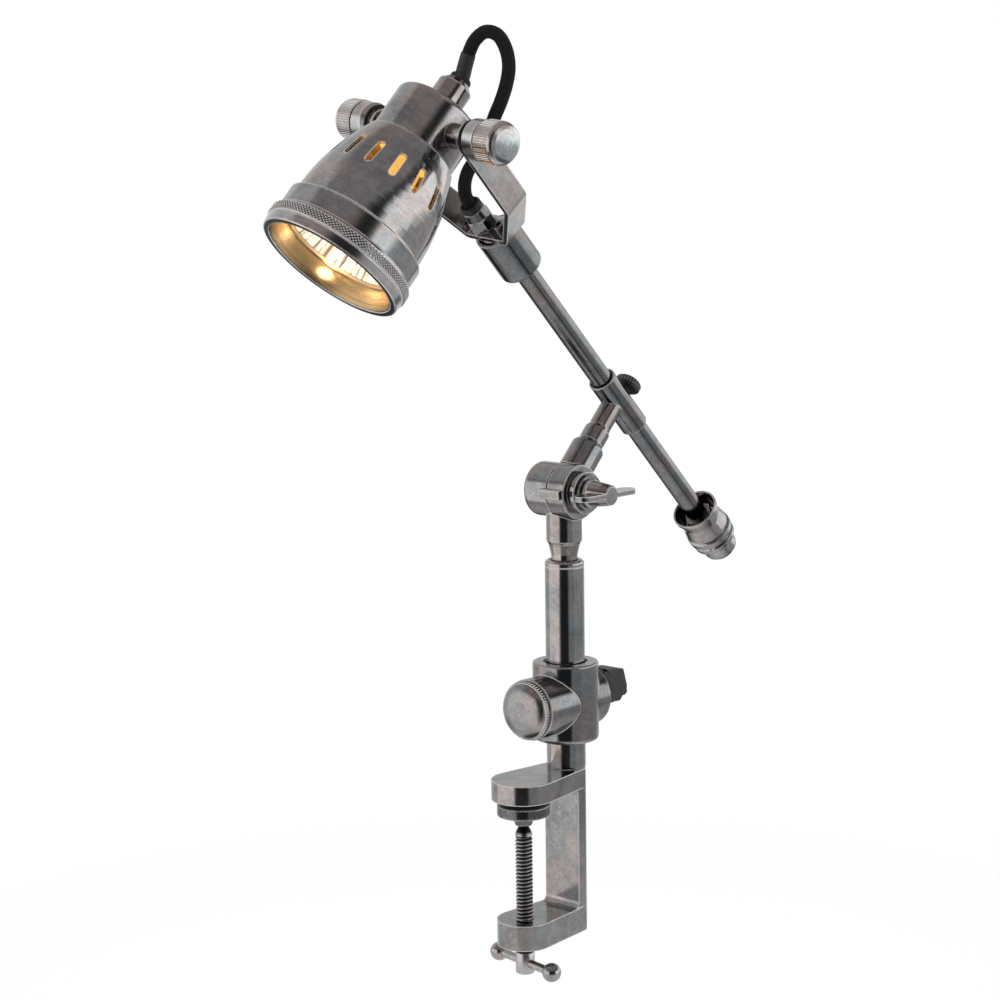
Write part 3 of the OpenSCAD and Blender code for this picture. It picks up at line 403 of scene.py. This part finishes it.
def lit_bowl(name):
    """The lamp's dichroic bowl: bright facets inside, an amber leak behind."""
    look = Look(name)
    x, y, z = look.split(look.at("head"))
    radius = off_axis(x, y)
    inside = look.node("ShaderNodeAttribute", {"attribute_name": "inside"}, out="Fac")
    angle = x.math("ARCTAN2", y, x)
    streak = look.noise(look.vector(angle * 9.0, radius * 0.2, 0.0), 1.0, detail=3.0, rough=0.65)
    flute = (angle * 56.0).apply("SINE") * 0.5 + 0.5
    lines = (streak.spread(0.44, 0.56) * 0.7 + flute * 0.6 - 0.1).clamp()
    glow = lines * (0.3 + radius.spread(11.0, 20.0) * 0.7)
    warm = look.mix(glow, (0.16, 0.075, 0.02, 1), (1.9, 1.6, 1.15, 1))
    leak = look.mix(streak.spread(0.35, 0.65), (1.25, 0.42, 0.03, 1), (1.9, 0.95, 0.12, 1))
    return look.finish(
        Base_Color=look.mix(inside, (0.5, 0.3, 0.1, 1), (0.1, 0.08, 0.06, 1)), Metallic=1.0, Roughness=0.2,
        Emission_Color=look.mix(inside, leak, warm), Emission_Strength=1.0,
    )


def clear_glass(name):
    """A thin clear pane, a little dusty, that lets the lamp's light through."""
    look = Look(name)
    dust = look.noise(look.at("head"), 0.4, detail=4.0)
    return look.finish(
        Base_Color=(0.96, 0.97, 0.94, 1), Roughness=0.03, IOR=1.5,
        Alpha=0.08 + dust.spread(0.45, 0.8) * 0.06,
    )


def hot_capsule(name):
    """The lit capsule, white in the middle and amber at its foot."""
    look = Look(name)
    _, _, z = look.split(look.at("head"))
    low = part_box("lamp_capsule")
    middle = SPOTS["head"].inverted() @ ((low[0] + low[1]) / 2) / MM
    heat = 1.0 - (z - middle.z).apply("ABSOLUTE").spread(2.0, 9.0)
    colour = look.mix(heat, (1.0, 0.5, 0.15, 1), (1.0, 0.85, 0.6, 1))
    return look.finish(
        Base_Color=(1, 0.9, 0.7, 1), Roughness=0.2, Emission_Color=colour, Emission_Strength=45.0,
    )


def glazed_ceramic(name):
    """Off-white glazed steatite, with an amber glow painted on as emission that stands in for the lamp's
    leaked light falling on it.
    """
    look = Look(name)
    grain = look.noise(look.at("head"), 0.8, detail=5.0)
    colour = look.mix(grain.spread(0.4, 0.7), (0.82, 0.8, 0.74, 1), (0.66, 0.63, 0.56, 1))
    # Painted glow: amber emission standing in for the lamp's leaked light falling on the ceramic
    glow = look.mix(grain.spread(0.3, 0.7), (0.75, 0.34, 0.04, 1), (0.95, 0.55, 0.12, 1))
    return look.finish(
        Base_Color=colour, Roughness=0.28 + grain * 0.1, Normal=look.bump(grain, 0.03), Emission_Color=glow,
        Emission_Strength=0.8,
    )


def dress(material, *nodes):
    """Gives a material to CAD nodes."""
    for name in nodes:
        node = frame["nodes"][name]
        if not node.material_slots:
            node.data.materials.append(None)
        for held in node.material_slots:
            held.material = material


cone_finish = gold_cone("gold_cone")
bowl_finish = lit_bowl("lit_bowl")
thread_finish = dark_steel("screw_steel", "screw", tone=0.5, teeth=(3.4, 3.95))
knob_finish = aged_nickel("nickel_knobs", "tilt", "round", tone=1.35, seed=1.3, edge=0.4, satin=0.1)
knob_teeth = aged_nickel("nickel_knob_teeth", "tilt", "round", seed=1.4, edge=0.15, teeth=(8.8, 9.08))
bezel_finish = aged_nickel("nickel_bezel", "head", "round", tone=1.4, seed=2.1)
bezel_teeth = aged_nickel("nickel_bezel_teeth", "head", "round", seed=2.2, teeth=(33.16, 33.5))
dome_finish = aged_nickel("nickel_dome", "barrel", "round", tone=0.8, seed=3.4, satin=0.13)
dome_teeth = aged_nickel("nickel_dome_teeth", "barrel", "round", seed=3.5, teeth=(12.95, 13.3))
glass_finish = clear_glass("clear_glass")
thumb_finish = black_plastic("black_thumbscrew", "thumbscrew", shine=0.3)
thumb_teeth = black_plastic("black_thumb_teeth", "thumbscrew", shine=0.3, teeth=(5.95, 6.3))

dress(aged_nickel("nickel_frame", "screw", "plain", tone=0.68, seed=0.2), "clamp_frame")
dress(aged_nickel("nickel_post", "post", "along", tone=0.78, seed=0.7), "post_tube", "post_cap")
dress(aged_nickel("nickel_housing", "post", "plain", tone=0.58, seed=1.9), "switch_housing")
dress(dome_finish, "switch_knob")
dress(aged_nickel("nickel_pad", "screw", "round", tone=0.32, seed=2.6), "clamp_pad")
dress(aged_nickel("nickel_bar", "bar", "along", tone=0.85, seed=4.1), "tommy_bar", "tommy_balls")
dress(aged_nickel("nickel_cup", "post", "round", tone=0.75, seed=5.2), "lower_knuckle")
dress(aged_nickel("nickel_knuckle", "bolt", "round", tone=0.72, seed=3.1), "upper_knuckle", "stop_lug",
      "cone_washer", "wing_screw")
dress(aged_nickel("nickel_stem", "stem", "along", tone=0.68, seed=6.3), "stem")
dress(aged_nickel("nickel_arm", "arm", "along", tone=0.44, seed=2.2), "arm_sleeve", "arm_rod",
      "head_adapter", "yoke_gland")
dress(aged_nickel("nickel_weight", "arm", "round", tone=0.85, seed=7.4, edge=0.35, soot=0.0), "counterweight")
dress(aged_nickel("nickel_yoke", "yoke", "along", tone=1.25, seed=8.5, satin=0.08), "yoke")
dress(aged_nickel("nickel_socket", "head", "round", tone=0.95, seed=4.6), "socket_cup", "head_gland",
      "tilt_pivots")
dress(aged_nickel("nickel_shade", "head", "round", tone=1.0, seed=5.7), "shade")
dress(bezel_finish, "bezel_ring")
dress(knob_finish, "tilt_knob_right", "tilt_knob_left")
dress(dark_steel("dark_steel", "post"), "post_stud", "swivel_clip", "holder_screws")
dress(dark_steel("dark_steel_bolt", "bolt"), "spring_washer")
dress(dark_steel("dark_steel_arm", "arm"), "weight_nut", "adapter_grub", "yoke_screw")
dress(black_plastic("black_housing", "post"), "switch_body", "cord_grip", "cord_grip_cap")
dress(thumb_finish, "sleeve_screw")
dress(black_plastic("black_liner", "arm"), "sleeve_liner")
dress(rubber("pad_rubber", "screw"), "pad_rubber")
dress(rubber("knuckle_disc", "bolt"), "friction_disc")
dress(rubber("head_rubber", "head"), "yoke_grommet", "head_grommet", "washer_right", "washer_left")
dress(cone_finish, "mouth_cone")
dress(glass_finish, "lamp_glass")
dress(hot_capsule("hot_capsule"), "lamp_capsule")
dress(glazed_ceramic("glazed_ceramic"), "lamp_base", "lamp_holder")


# ---- Pieces ----
def piece(name, mesh, place, body, material=None, smooth=None):
    """Puts a mesh made in millimetres at a spot, as a piece of a body."""
    mesh.transform(SPOTS[place] @ Matrix.Scale(MM, 4))
    mesh.name = name
    made = bpy.data.objects.new(name, mesh)
    bpy.context.scene.collection.objects.link(made)
    if material:
        mesh.materials.clear()
        mesh.materials.append(material)
    if smooth is not None:
        mesh.shade_smooth()
        mesh.set_sharp_from_angle(angle=math.radians(smooth))
    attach(made, body)
    return made


def turned_mesh(outline, sides):
    """A mesh turned about Z from points (radius, height), open or closed at the axis."""
    steps = TURN * np.arange(sides) / sides
    points, rings = [], []
    for radius, height in outline:
        rings.append(len(points))
        count = sides if radius > 0 else 1
        points += [(radius * math.cos(a), radius * math.sin(a), height) for a in steps[:count]]
    faces = []
    for (r0, _), (r1, _), low, high in zip(outline, outline[1:], rings, rings[1:]):
        for k in range(sides):
            n = (k + 1) % sides
            corners = [low + (k if r0 > 0 else 0), low + (n if r0 > 0 else 0)]
            corners += [high + (n if r1 > 0 else 0), high + (k if r1 > 0 else 0)]
            faces.append(list(dict.fromkeys(corners)))
    mesh = bpy.data.meshes.new("turned")
    mesh.from_pydata(points, [], faces)
    return mesh


# ---- Geometry Nodes for what repeats ----
def new_tree(name, inputs):
    """A geometry tree with named inputs. Returns its graph and a field for each input."""
    tree = bpy.data.node_groups.new(name, "GeometryNodeTree")
    for label, kind, value in inputs:
        socket = tree.interface.new_socket(label, in_out="INPUT", socket_type="NodeSocket" + kind)
        if value is not None:
            socket.default_value = value
    tree.interface.new_socket("Geometry", in_out="OUTPUT", socket_type="NodeSocketGeometry")
    graph = Graph(tree)
    held = tree.nodes.new("NodeGroupInput")
    return graph, {label: Field(graph, held.outputs[label]) for label, _, _ in inputs}


def close_tree(graph, geometry, material):
    real = graph.node("GeometryNodeRealizeInstances", sockets={0: geometry})
    done = graph.node("GeometryNodeSetMaterial", sockets={"Geometry": real, "Material": material})
    output = graph.tree.nodes.new("NodeGroupOutput")
    graph.tree.links.new(done.socket, output.inputs[0])
    return graph.tree


def knurl_tree(name, pointed):
    """Teeth round Z in staggered rows: pyramids where pointed, otherwise straight ridges."""
    graph, size = new_tree(name, [
        ("Count", "Int", 60), ("Rows", "Int", 1), ("Radius", "Float", 8.0), ("Start", "Float", 0.0),
        ("Pitch", "Float", 1.0), ("Width", "Float", 0.5), ("Length", "Float", 5.0), ("Height", "Float", 0.4),
        ("Material", "Material", None),
    ])
    index = graph.node("GeometryNodeInputIndex")
    row = (index / size["Count"]).apply("FLOOR")
    column = index - row * size["Count"]
    angle = (column + row * 0.5) * TURN / size["Count"]
    centre = size["Start"] + row * size["Pitch"]
    across, up = angle.apply("COSINE") * size["Radius"], angle.apply("SINE") * size["Radius"]
    sockets = {"Count": size["Count"] * size["Rows"], "Position": graph.vector(across, up, centre)}
    points = graph.node("GeometryNodePoints", sockets=sockets)
    if pointed:
        tooth = graph.node(
            "GeometryNodeMeshCone", {"fill_type": "NONE"},
            {"Vertices": 4, "Radius Top": 0.0, "Radius Bottom": 1.0, "Depth": 1.0},
        )
        rotation = graph.vector(0.0, math.pi / 2, angle)
        scale = graph.vector(size["Length"], size["Width"], size["Height"])
    else:
        tooth = graph.node("GeometryNodeMeshCylinder", sockets={"Vertices": 3, "Radius": 1.0, "Depth": 1.0})
        rotation = graph.vector(0.0, 0.0, angle)
        scale = graph.vector(size["Height"], size["Width"], size["Length"])
    teeth = graph.node(
        "GeometryNodeInstanceOnPoints",
        sockets={"Points": points, "Instance": tooth, "Rotation": rotation, "Scale": scale},
    )
    return close_tree(graph, teeth, size["Material"])


def thread_tree(name):
    """A helical thread round Z, from Start downwards, that fades at both ends."""
    graph, size = new_tree(name, [
        ("Root", "Float", 3.3), ("Depth", "Float", 0.7), ("Pitch", "Float", 1.25), ("Length", "Float", 50.0),
        ("Middle", "Float", 0.0), ("Steps", "Int", 300), ("Material", "Material", None),
    ])
    sockets = {"Vertices": 48, "Side Segments": size["Steps"], "Radius": 1.0, "Depth": size["Length"]}
    sleeve = graph.node("GeometryNodeMeshCylinder", {"fill_type": "NONE"}, sockets)
    x, y, z = graph.split(graph.node("GeometryNodeInputPosition"))
    turn = x.math("ARCTAN2", y, x) / TURN
    phase = (z / size["Pitch"] - turn).apply("FRACT")
    wedge = 1.0 - (phase * 2.0 - 1.0).apply("ABSOLUTE")
    from_end = (size["Length"] / 2 - z.apply("ABSOLUTE")) / size["Pitch"]
    radius = size["Root"] + size["Depth"] * wedge.spread(0.12, 0.88) * from_end.clamp()
    position = graph.vector(x * radius, y * radius, z + size["Middle"])
    moved = graph.node("GeometryNodeSetPosition", sockets={"Geometry": sleeve, "Position": position})
    return close_tree(graph, moved, size["Material"])


def grown(tree, material, **sizes):
    """The plain mesh that a geometry tree makes with these sizes."""
    seed = bpy.data.objects.new("grower", bpy.data.meshes.new("grower"))
    bpy.context.scene.collection.objects.link(seed)
    modifier = seed.modifiers.new("grow", "NODES")
    modifier.node_group = tree
    for item in tree.interface.items_tree:
        if item.in_out == "INPUT" and item.name in sizes:
            modifier[item.identifier] = sizes[item.name]
        elif item.name == "Material":
            modifier[item.identifier] = material
    bpy.context.view_layer.update()
    evaluated = seed.evaluated_get(bpy.context.evaluated_depsgraph_get())
    mesh = bpy.data.meshes.new_from_object(evaluated)
    bpy.data.objects.remove(seed)
    return mesh


def span(node, place):
    """Lowest and highest height of a CAD node along a spot's axis, in millimetres."""
    inverse = SPOTS[place].inverted()
    heights = [(inverse @ v.co).z / MM for v in frame["nodes"][node].data.vertices]
    return min(heights), max(heights)


ridge_tree = knurl_tree("straight_knurl", pointed=False)
diamond_tree = knurl_tree("diamond_knurl", pointed=True)

# Diamond knurl on the bezel ring, which runs BEZEL_LEN from the skirt's end to the mouth
BEZEL_LEN = 10.4
FIRST_ROW = 2.1
_, bezel_high = span("bezel_ring", "head")
skirt_end = bezel_high - BEZEL_LEN
piece("bezel_knurl", grown(
    diamond_tree, bezel_teeth, Count=122, Rows=5, Radius=33.06, Start=skirt_end + FIRST_ROW, Pitch=0.7,
    Width=0.84, Length=0.7, Height=0.5,
), "head", "head")

# Straight knurl on the tilt knobs, its middle KNURL_OUT from their inner ends
KNURL_OUT = 13.4
knob_low, _ = span("tilt_knob_right", "tilt")
for side, body in ((1, "knob_right"), (-1, "knob_left")):
    knurl_middle = side * (knob_low + KNURL_OUT)
    piece("tilt_knurl_" + body[5:], grown(
        ridge_tree, knob_teeth, Count=54, Radius=8.72, Start=knurl_middle, Width=0.5, Length=7.6, Height=0.42,
    ), "tilt", body)

# The switch knob stands out of its well, with teeth round it and a dome in front
KNOB_R, NECK_R = 12.9, 11.0
KNOB_BACK, KNOB_FRONT, DOME_H = -4.6, 2.7, 4.4
dome = [
    ((KNOB_R - 0.35) * math.sin(a), KNOB_FRONT + DOME_H * math.cos(a))
    for a in np.radians(range(90, 0, -9))
]
switch_dome = piece("switch_dome", turned_mesh([
    (0, KNOB_BACK), (NECK_R, KNOB_BACK), (NECK_R, 0.3), (KNOB_R - 0.3, 0.35), (KNOB_R, 0.6),
    (KNOB_R, KNOB_FRONT - 0.1), *dome, (0, KNOB_FRONT + DOME_H),
], 96), "barrel", "switch_knob", dome_finish, smooth=25)
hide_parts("switch_knob")
piece("switch_knurl", grown(
    ridge_tree, dome_teeth, Count=62, Radius=12.85, Start=1.6, Width=0.6, Length=2.0, Height=0.62,
), "barrel", "switch_knob")

# Coarse teeth round the thumbscrew's head, their middle HEAD_IN below its top
HEAD_IN = 2.7
_, thumb_high = span("sleeve_screw", "thumbscrew")
piece("thumbscrew_knurl", grown(
    ridge_tree, thumb_teeth, Count=26, Radius=5.85, Start=thumb_high - HEAD_IN, Width=0.62, Length=2.6,
    Height=0.5,
), "thumbscrew", "sleeve_screw")

# Clamp screw: a turned shank with a helical thread
FOOT_H, FOOT_R = 10.0, 4.4
NOSE_H, PIN_R = 9.2, 2.0
THREAD_ROOT, THREAD_DEPTH = 3.3, 0.7
THREAD_PITCH = 1.75
screw_low, screw_high = span("clamp_screw", "screw")
thread_foot = screw_low + FOOT_H
thread_top = screw_high - NOSE_H
shank = piece("screw_shank", turned_mesh([
    (0, screw_low), (FOOT_R - 0.7, screw_low), (FOOT_R - 0.2, screw_low + 0.3), (FOOT_R, screw_low + 0.8),
    (FOOT_R, thread_foot - 0.5), (FOOT_R - 0.3, thread_foot), (THREAD_ROOT, thread_foot + 0.3),
    (THREAD_ROOT, thread_top - 0.2), (3.9, thread_top), (3.5, thread_top + 1.6), (2.6, thread_top + 3.4),
    (PIN_R, thread_top + 4.2), (PIN_R, screw_high - 0.4), (PIN_R - 0.4, screw_high), (0, screw_high),
], 64), "screw", "clamp_screw", thread_finish, smooth=35)
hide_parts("clamp_screw")
piece("screw_thread", grown(
    thread_tree("helical_thread"), thread_finish, Root=THREAD_ROOT, Depth=THREAD_DEPTH, Pitch=THREAD_PITCH,
    Length=thread_top - thread_foot, Middle=(thread_top + thread_foot) / 2, Steps=340,
), "screw", "clamp_screw", smooth=80)

# The lamp: a faceted bowl, its lip, and a pane set in the gold cone near the mouth
PANE_DEPTH = 8.8
PANE_R = 24.6
BOWL_NECK, BOWL_RIM = 8.0, 24.2
BOWL_RINGS, BOWL_FACETS = 10, 44
BOWL_BACK, RIM_GAP = 1.0, 1.2
bowl_low, _ = span("lamp_bowl", "head")
pane_z = bezel_high - PANE_DEPTH
depth = pane_z - RIM_GAP - bowl_low - BOWL_BACK
inner = [
    (BOWL_NECK + (BOWL_RIM - BOWL_NECK) * math.sqrt(k / BOWL_RINGS),
     bowl_low + BOWL_BACK + depth * k / BOWL_RINGS)
    for k in range(BOWL_RINGS + 1)
]
outer = [(0, bowl_low)] + [(min(r + 1.2, 24.9), h - 0.9) for r, h in inner]
bowl_mesh = turned_mesh(outer + inner[::-1] + [(0, bowl_low + BOWL_BACK)], BOWL_FACETS)
inside = bowl_mesh.attributes.new("inside", "FLOAT", "FACE")
inside_from = (len(outer) - 1) * BOWL_FACETS
inside.data.foreach_set("value", [float(f.index >= inside_from) for f in bowl_mesh.polygons])
bowl = piece("faceted_bowl", bowl_mesh, "head", "head", bowl_finish)
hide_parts("lamp_bowl")
pane = piece("lamp_pane", turned_mesh([
    (0, pane_z - 1.0), (PANE_R - 0.4, pane_z - 1.0), (PANE_R, pane_z - 0.8), (PANE_R, pane_z - 0.2),
    (PANE_R - 0.3, pane_z), (0, pane_z),
], 96), "head", "head", glass_finish, smooth=30)
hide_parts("lamp_glass")
piece("lamp_lip", turned_mesh([
    (24.7, pane_z - 1.4), (25.4, pane_z - 1.2), (25.5, pane_z + 0.1), (25.1, pane_z + 0.6),
    (24.7, pane_z + 0.4), (24.5, pane_z + 0.05), (24.7, pane_z - 0.1), (24.7, pane_z - 1.4),
], 96), "head", "head", cone_finish, smooth=50)
cone = piece("mouth_cone_turned", turned_mesh([
    (25.6, pane_z - 0.2), (26.6, pane_z - 0.2), (29.3, pane_z + 3.0), (29.3, bezel_high - 0.5),
    (28.95, bezel_high - 0.35), (28.75, bezel_high - 0.6), (25.6, pane_z + 0.3), (25.6, pane_z - 0.2),
], 128), "head", "head", cone_finish, smooth=30)
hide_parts("mouth_cone")

# ---- Flex ----
# The source's route, in millimetres across the yoke, along the rod, and behind the strip
FLEX_ROUTE = [
    (-5.6, -47.9, 0), (-5.6, -44, 0.2), (-5.4, -40, 1), (-4.2, -35.8, 2.8), (-1.5, -31.5, 5),
    (2.5, -27.7, 6.6), (7.5, -24, 8.6), (12.5, -19.6, 11.6), (17, -14, 15.2), (20, -9, 20), (21.5, -5.5, 26),
    (21, -2.5, 33), (19.4, 1, 39.5), (16.4, 5.5, 44.6), (12, 10, 47.6), (7, 12.4, 46.6), (3.2, 11.4, 42.6),
    (1.2, 8.6, 38), (0.3, 5.4, 33.4), (0, 2.9, 29.6), (0, 2.35, 27.2),
]
FLEX_D = 5.8
GLAND_R, GLAND_REACH = 3.4, 3.5


def smooth_route(points, steps):
    """A Catmull-Rom curve through the points."""
    ends = [points[0] * 2 - points[1], *points, points[-1] * 2 - points[-2]]
    made = []
    for a, b, c, d in zip(ends, ends[1:], ends[2:], ends[3:]):
        for k in range(steps):
            t = k / steps
            made.append(0.5 * (2 * b + (c - a) * t + (2 * a - 5 * b + 4 * c - d) * t * t
                               + (3 * b - a - 3 * c + d) * t ** 3))
    return made + [points[-1]]


def run_along(path):
    """The length of a path up to each of its points."""
    return np.cumsum([0.0] + [(b - a).length for a, b in zip(path, path[1:])])


def tube_mesh(path, radii, sides):
    """A closed tube along a path, with a UV map: round it, and along it in flex diameters."""
    run = run_along(path)
    side = (path[1] - path[0]).orthogonal().normalized()
    points = []
    for i, centre in enumerate(path):
        way = (path[min(i + 1, len(path) - 1)] - path[max(i - 1, 0)]).normalized()
        side = (side - way * side.dot(way)).normalized()
        other = way.cross(side)
        for k in range(sides):
            a = TURN * k / sides
            points.append(centre + radii[i] * (math.cos(a) * side + math.sin(a) * other))
    faces = [
        [i * sides + k, i * sides + (k + 1) % sides, (i + 1) * sides + (k + 1) % sides, (i + 1) * sides + k]
        for i in range(len(path) - 1) for k in range(sides)
    ]
    last = (len(path) - 1) * sides
    faces += [list(range(sides))[::-1], [last + k for k in range(sides)]]
    mesh = bpy.data.meshes.new("tube")
    mesh.from_pydata(points, [], faces)
    layer = mesh.uv_layers.new(name="UVMap")
    for face in list(mesh.polygons)[:-2]:
        i, k = divmod(face.index, sides)
        for loop, (di, dk) in zip(face.loop_indices, ((0, 0), (0, 1), (1, 1), (1, 0))):
            layer.data[loop].uv = ((k + dk) / sides, run[i + di] / FLEX_D)
    return mesh


flex_path = smooth_route([Vector((across, behind, along)) for across, along, behind in FLEX_ROUTE], 6)
world_path = [SPOTS["yoke"] @ (point * MM) for point in flex_path]
flex_length = sum((b - a).length for a, b in zip(world_path, world_path[1:]))


def tube_piece(name, path, radii, material):
    """A tube along a path in the yoke's spot, with no body of its own yet."""
    mesh = tube_mesh(path, radii, 24)
    mesh.transform(SPOTS["yoke"] @ Matrix.Scale(MM, 4))
    mesh.materials.append(material)
    mesh.shade_smooth()
    mesh.set_sharp_from_angle(angle=math.radians(50))
    tube = bpy.data.objects.new(name, mesh)
    bpy.context.scene.collection.objects.link(tube)
    return tube


def ends_filled(path, reach):
    """Radii of the flex, a little fuller where it enters its glands."""
    run = run_along(path)
    near = np.minimum(run, run[-1] - run)
    return (FLEX_D / 2 + (GLAND_R - FLEX_D / 2) * np.clip(1 - near / reach, 0, 1) ** 0.7).tolist()


flex_radii = ends_filled(flex_path, GLAND_REACH)
flex_cover = tube_piece("flex_cover", flex_path, flex_radii, braid("black_braid"))
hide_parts("flex")
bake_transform(flex_cover)

# Shrink sleeve over the flex at the head's gland
SLEEVE_LEN, SLEEVE_R = 12.0, 3.3
sleeve_path, covered = [flex_path[-1]], 0.0
for before, after in zip(flex_path[::-1], flex_path[-2::-1]):
    covered += (after - before).length
    if covered > SLEEVE_LEN:
        break
    sleeve_path.append(after)
count = len(sleeve_path)
sleeve_radii = [SLEEVE_R + 0.1 - 0.2 * k / count for k in range(count - 1)] + [FLEX_D / 2 + 0.15]
sleeve_path.insert(-1, sleeve_path[-1] * 0.93 + sleeve_path[-2] * 0.07)
sleeve_radii.insert(-1, SLEEVE_R - 0.1)
shrink_sleeve = tube_piece("shrink_sleeve", sleeve_path, sleeve_radii, heat_shrink("shrink_black"))
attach(shrink_sleeve, "head")

# ---- Floor, light and camera ----
# Below the clamp screw when it is backed right out; the lamp hangs from a desk edge above it
FLOOR_Z = -0.1245
FLOOR_R = 0.45
FADE_FROM, FADE_TO = 0.12, 0.42
floor = bpy.data.objects.new("floor", turned_mesh([(0, 0), (0.2, 0), (FLOOR_R, 0)], 64))
floor.location.z = FLOOR_Z
bpy.context.scene.collection.objects.link(floor)


def floor_finish():
    """White to the eye and dimmer in reflections. It fades out, so that the shadow stays near the lamp."""
    look = Look("floor_white")
    x, y, _ = look.split(look.node("ShaderNodeTexCoord", out="Object"))
    camera, glossy, passed = look.rays("Is Camera Ray", "Is Glossy Ray", "Is Transmission Ray")
    far = off_axis(x, y).spread(FADE_FROM, FADE_TO)
    share = (camera + glossy * 0.4 + passed).clamp() * 0.8
    look.finish(Base_Color=(0.9, 0.9, 0.9, 1), Roughness=0.7)
    glow = look.node("ShaderNodeEmission", sockets={"Color": (1, 1, 1, 1), "Strength": 1.06})
    clear = look.node("ShaderNodeBsdfTransparent")
    base = Field(look, look.shader.outputs[0])
    mixed = look.node("ShaderNodeMixShader", sockets={0: share, 1: base, 2: glow})
    faded = look.node("ShaderNodeMixShader", sockets={0: far, 1: mixed, 2: clear})
    look.tree.links.new(faded.socket, look.tree.nodes["Material Output"].inputs["Surface"])
    return look.material


floor.data.materials.append(floor_finish())

# The dark room that glossy surfaces see, low down and overhead, and the level that matt ones see
ROOM_LOW, ROOM_HIGH = grey(0.03, -0.08), grey(0.3, 0.07)
MATT_LEVEL = 0.9
# Half of a panel's soft edge, in degrees round Z and as a sine of the elevation
SOFT_DEGREES, SOFT_SINE = 3, 0.05
# The room's panels: middle and half width in degrees round Z from the -Y way towards +X, low and high
# end as the sine of the elevation, level and colour
PANELS = [
    (-90.0, 42.0, 0.25, 0.86, 0.62, (1.0, 0.98, 0.96)),
    (240.0, 62.0, -0.4, 0.42, 0.7, (0.97, 1.0, 0.99)),
    (134.0, 46.0, -0.6, -0.12, 0.47, (0.95, 0.99, 1.0)),
    (134.0, 46.0, -0.12, 0.4, 1.45, (0.98, 1.0, 0.99)),
    (79.0, 17.0, -0.9, 0.02, 0.4, (0.9, 0.97, 1.0)),
    (-27.5, 37.5, -0.6, 0.42, 1.3, (1.0, 0.97, 0.95)),
]


def studio():
    """White to the eye, nearly so to matt surfaces, and a dark room with soft panels to glossy ones."""
    world = bpy.data.worlds.new("studio")
    world.use_nodes = True
    graph = Graph(world.node_tree)
    x, y, z = graph.split(graph.node("ShaderNodeTexCoord", out="Generated"))
    flat = (x * x + y * y + 1e-4) ** 0.5
    colour = graph.mix(z.spread(0.5, 0.62), ROOM_LOW, ROOM_HIGH)
    for middle, half, low, high, level, tint in PANELS:
        a = math.radians(middle)
        facing = (x * math.sin(a) - y * math.cos(a)) / flat
        inner, outer = (math.cos(math.radians(half + d)) for d in (-SOFT_DEGREES, SOFT_DEGREES))
        above = z.spread(low - SOFT_SINE, low + SOFT_SINE)
        below = 1.0 - z.spread(high - SOFT_SINE, high + SOFT_SINE)
        bright = tuple(level * c for c in tint) + (1.0,)
        colour = graph.mix(facing.spread(outer, inner) * above * below, colour, bright)
    camera, matt = graph.rays("Is Camera Ray", "Is Diffuse Ray")
    shown = graph.mix(camera, graph.mix(matt, colour, grey(MATT_LEVEL)), grey(1.0))
    graph.tree.links.new(shown.socket, graph.tree.nodes["Background"].inputs["Color"])
    bpy.context.scene.world = world


studio()

# The lamp's own light: name, distance from the head's axis towards FACETS_WAY, height over the pane, and
# power. The filament is on the axis, and the bright facets light one side of the gold cone.
LIGHTS = [("filament", 0.0, -6.0, 0.016), ("facets", 23.5, 5.2, 0.0045)]
FACETS_WAY = (-0.82, -0.57)
LAMPLIGHT = (1.0, 0.82, 0.58)
for name, radius, height, power in LIGHTS:
    light = bpy.data.lights.new(name, "POINT")
    light.energy, light.shadow_soft_size, light.color = power, 0.002, LAMPLIGHT
    holder = bpy.data.objects.new(name, light)
    holder.visible_camera = False
    place = Vector((FACETS_WAY[0] * radius, FACETS_WAY[1] * radius, pane_z + height))
    holder.location = SPOTS["head"] @ (place * MM)
    bpy.context.scene.collection.objects.link(holder)
    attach(holder, "head")

# The camera's place in metres, its turns in degrees, and its lens in millimetres
CAMERA_AT = (0.67938, -0.77009, 0.28778)
CAMERA_TURN, CAMERA_DIP, CAMERA_ROLL = 41.90, 8.37, -0.8
FOCAL_LENGTH, SENSOR_WIDTH = 84.04, 36.0
lens = bpy.data.cameras.new("camera")
lens.lens, lens.sensor_width = FOCAL_LENGTH, SENSOR_WIDTH
camera = bpy.data.objects.new("camera", lens)
bpy.context.scene.collection.objects.link(camera)
camera.matrix_world = (
    Matrix.Translation(CAMERA_AT) @ Matrix.Rotation(math.radians(CAMERA_TURN), 4, "Z")
    @ Matrix.Rotation(math.radians(90 - CAMERA_DIP), 4, "X")
    @ Matrix.Rotation(math.radians(CAMERA_ROLL), 4, "Z")
)
bpy.context.scene.camera = camera
bpy.context.scene.view_settings.view_transform = "Standard"
